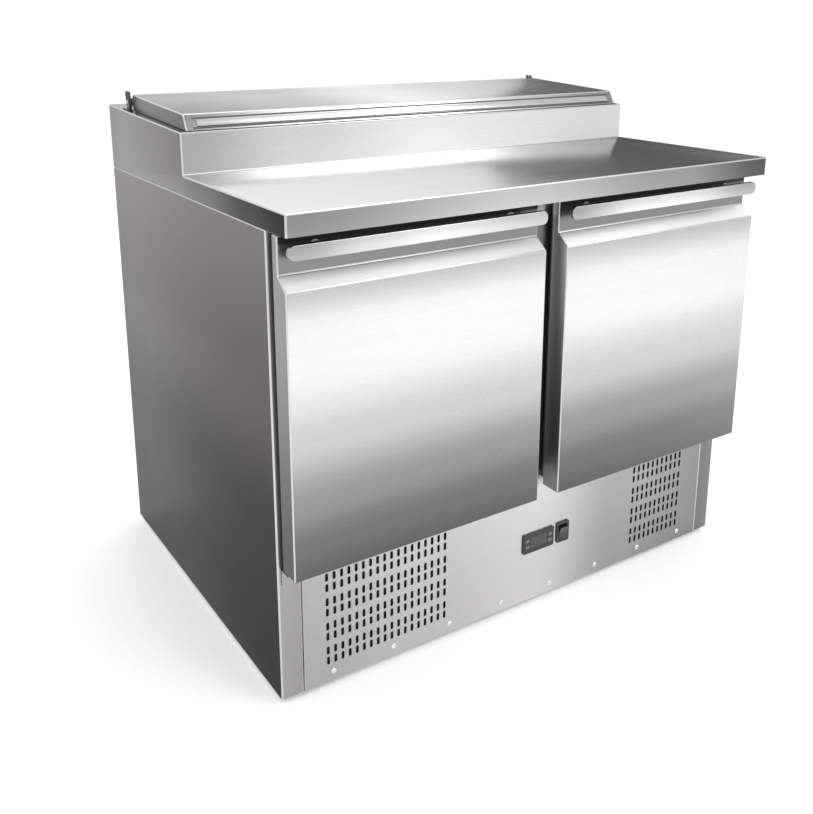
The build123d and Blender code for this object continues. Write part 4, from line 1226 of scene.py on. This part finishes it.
# ---- carried-over nodes -----------------------------------------------------------------------
def carried_over(finishes: Palette) -> dict[str, bpy.types.Material]:
    """The finish of every CAD node that is shown as it is.

    Args:
        finishes: The palette.

    Returns:
        Node name to material.
    """
    plan = {
        finishes.flange: ["door_hinge_brackets"],
        finishes.plain: ["sill_rail", "top_rail", "back_panel", "rear_grille"],
        # The centre mullion takes the darkened steel: painted shade between the doors.
        finishes.upright: ["centre_mullion"],
        finishes.inside: [
            "inner_liner", "left_door_inner_panel", "right_door_inner_panel", "lid_inner_panel", "pan_deck",
            "pan_1", "pan_2", "pan_3", "pan_4", "pan_5", "evaporator_cover", "shelf_clips", "wire_shelves",
        ],
        finishes.kick: ["kick_panel"],
        finishes.screw: ["kick_screws"],
        finishes.black: ["lid_hinge_brackets", "power_inlet", "controller_housing", "rocker_housing"],
        finishes.gloss: ["rocker"],
        finishes.key: [f"controller_button_{index}" for index in range(1, 5)],
        finishes.window: ["controller_lens"],
        finishes.rubber: ["glides", "compressor_grommets", "condenser_fan", "evaporator_fan"],
        finishes.white: ["left_door_bushes", "right_door_bushes"],
        finishes.grey: ["drip_tray"],
        finishes.enamel: ["compressor"],
        finishes.motor: ["condenser_fan_motor", "evaporator_fan_motor"],
        finishes.fins: ["condenser", "evaporator"],
        finishes.copper: ["refrigerant_pipes"],
        finishes.zinc: ["base_tray", "condenser_shroud"],
        finishes.foam: ["insulation"],
    }
    return {node: finish for finish, nodes in plan.items() for node in nodes}


def dress_nodes(finishes: Palette) -> None:
    """Puts the finishes on the carried-over nodes.

    Args:
        finishes: The palette.
    """
    for name, finish in carried_over(finishes).items():
        node = frame["nodes"][name]
        node.data.materials.clear()
        node.data.materials.append(finish)
        log.info("%s finished as %s", name, finish.name)


# ---- studio -----------------------------------------------------------------------------------
@dataclass
class Studio:
    """Pale floor, soft lights and the camera."""

    finishes: Palette
    camera_place: Point = (-0.941, -1.373, 0.957)
    azimuth: float = 33.0
    pitch: float = 14.4
    lens: float = 42.4
    shift: float = -0.175
    aim_height: float = 0.4
    card_distance: float = 8.0
    card_azimuth: float = 60.0
    card_height: float = 2.9
    card_size: Flat = (5.4, 3.3)

    def build(self) -> None:
        """Sets the whole studio up."""
        self.floor()
        self.sky()
        self.lamp("key_light", (1.6, -2.6, 3.4), 2.6, 60.0)
        self.lamp("fill_light", (-3.4, -1.6, 2.2), 2.4, 26.0)
        self.lamp("top_light", (0.2, 1.2, 3.8), 3.2, 40.0)
        self.flag()
        self.camera()

    def flag(self) -> None:
        """A dark card far behind the right end, which the steel mirrors there."""
        deselect()
        aim = math.radians(self.card_azimuth)
        place = (self.card_distance * math.sin(aim), self.card_distance * math.cos(aim), self.card_height)
        bpy.ops.mesh.primitive_plane_add(size=1.0, location=place, rotation=(math.radians(90.0), 0.0, -aim))
        card = bpy.context.object
        card.scale = (*self.card_size, 1.0)
        dress(settle(card, "studio_flag"), self.finishes.card)
        card.visible_diffuse = False
        card.visible_shadow = False

    def floor(self) -> None:
        """A wide pale floor."""
        deselect()
        bpy.ops.mesh.primitive_plane_add(size=60.0, location=(0.0, 0.0, 0.0))
        ground = settle(bpy.context.object, "studio_floor")
        dress(ground, self.finishes.floor)

    def sky(self) -> None:
        """Even white surroundings."""
        world = bpy.data.worlds.new("studio_white")
        bpy.context.scene.world = world
        world.use_nodes = True
        world.node_tree.nodes["Background"].inputs["Color"].default_value = (1.0, 1.0, 1.0, 1.0)
        world.node_tree.nodes["Background"].inputs["Strength"].default_value = 1.04

    def lamp(self, name: str, place: Point, size: float, power: float) -> None:
        """A square soft light aimed at the table.

        Args:
            name: The light's name.
            place: Where it stands.
            size: Its side.
            power: Its power in watts.
        """
        data = bpy.data.lights.new(name, "AREA")
        data.shape = "SQUARE"
        data.size = size
        data.energy = power
        light = bpy.data.objects.new(name, data)
        bpy.context.scene.collection.objects.link(light)
        light.location = place
        aim = Vector((0.0, 0.0, self.aim_height)) - Vector(place)
        light.rotation_euler = aim.to_track_quat("-Z", "Y").to_euler()

    def camera(self) -> None:
        """The camera in front of the left corner."""
        data = bpy.data.cameras.new("studio_camera")
        data.lens = self.lens
        data.shift_y = self.shift
        data.clip_start = 0.05
        data.clip_end = 200.0
        camera = bpy.data.objects.new("studio_camera", data)
        bpy.context.scene.collection.objects.link(camera)
        camera.location = self.camera_place
        camera.rotation_euler = (math.radians(90.0 - self.pitch), 0.0, math.radians(-self.azimuth))
        bpy.context.scene.camera = camera
        bpy.context.scene.view_settings.view_transform = "Standard"


def main() -> None:
    """Builds the table and its studio."""
    logging.basicConfig(level=logging.INFO, format="%(message)s")
    door_low, door_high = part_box("right_door_skin")
    finishes = Palette(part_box("right_side_panel")[1].x, door_low.z, door_high.z)
    dress_nodes(finishes)
    Casing(finishes).build()
    top = WeldedTop(finishes)
    top.build()
    Lid(finishes, top).build()
    for word in ("left", "right"):
        Door(finishes, word).build()
    Studio(finishes).build()


if __name__ == "__main__":
    main()
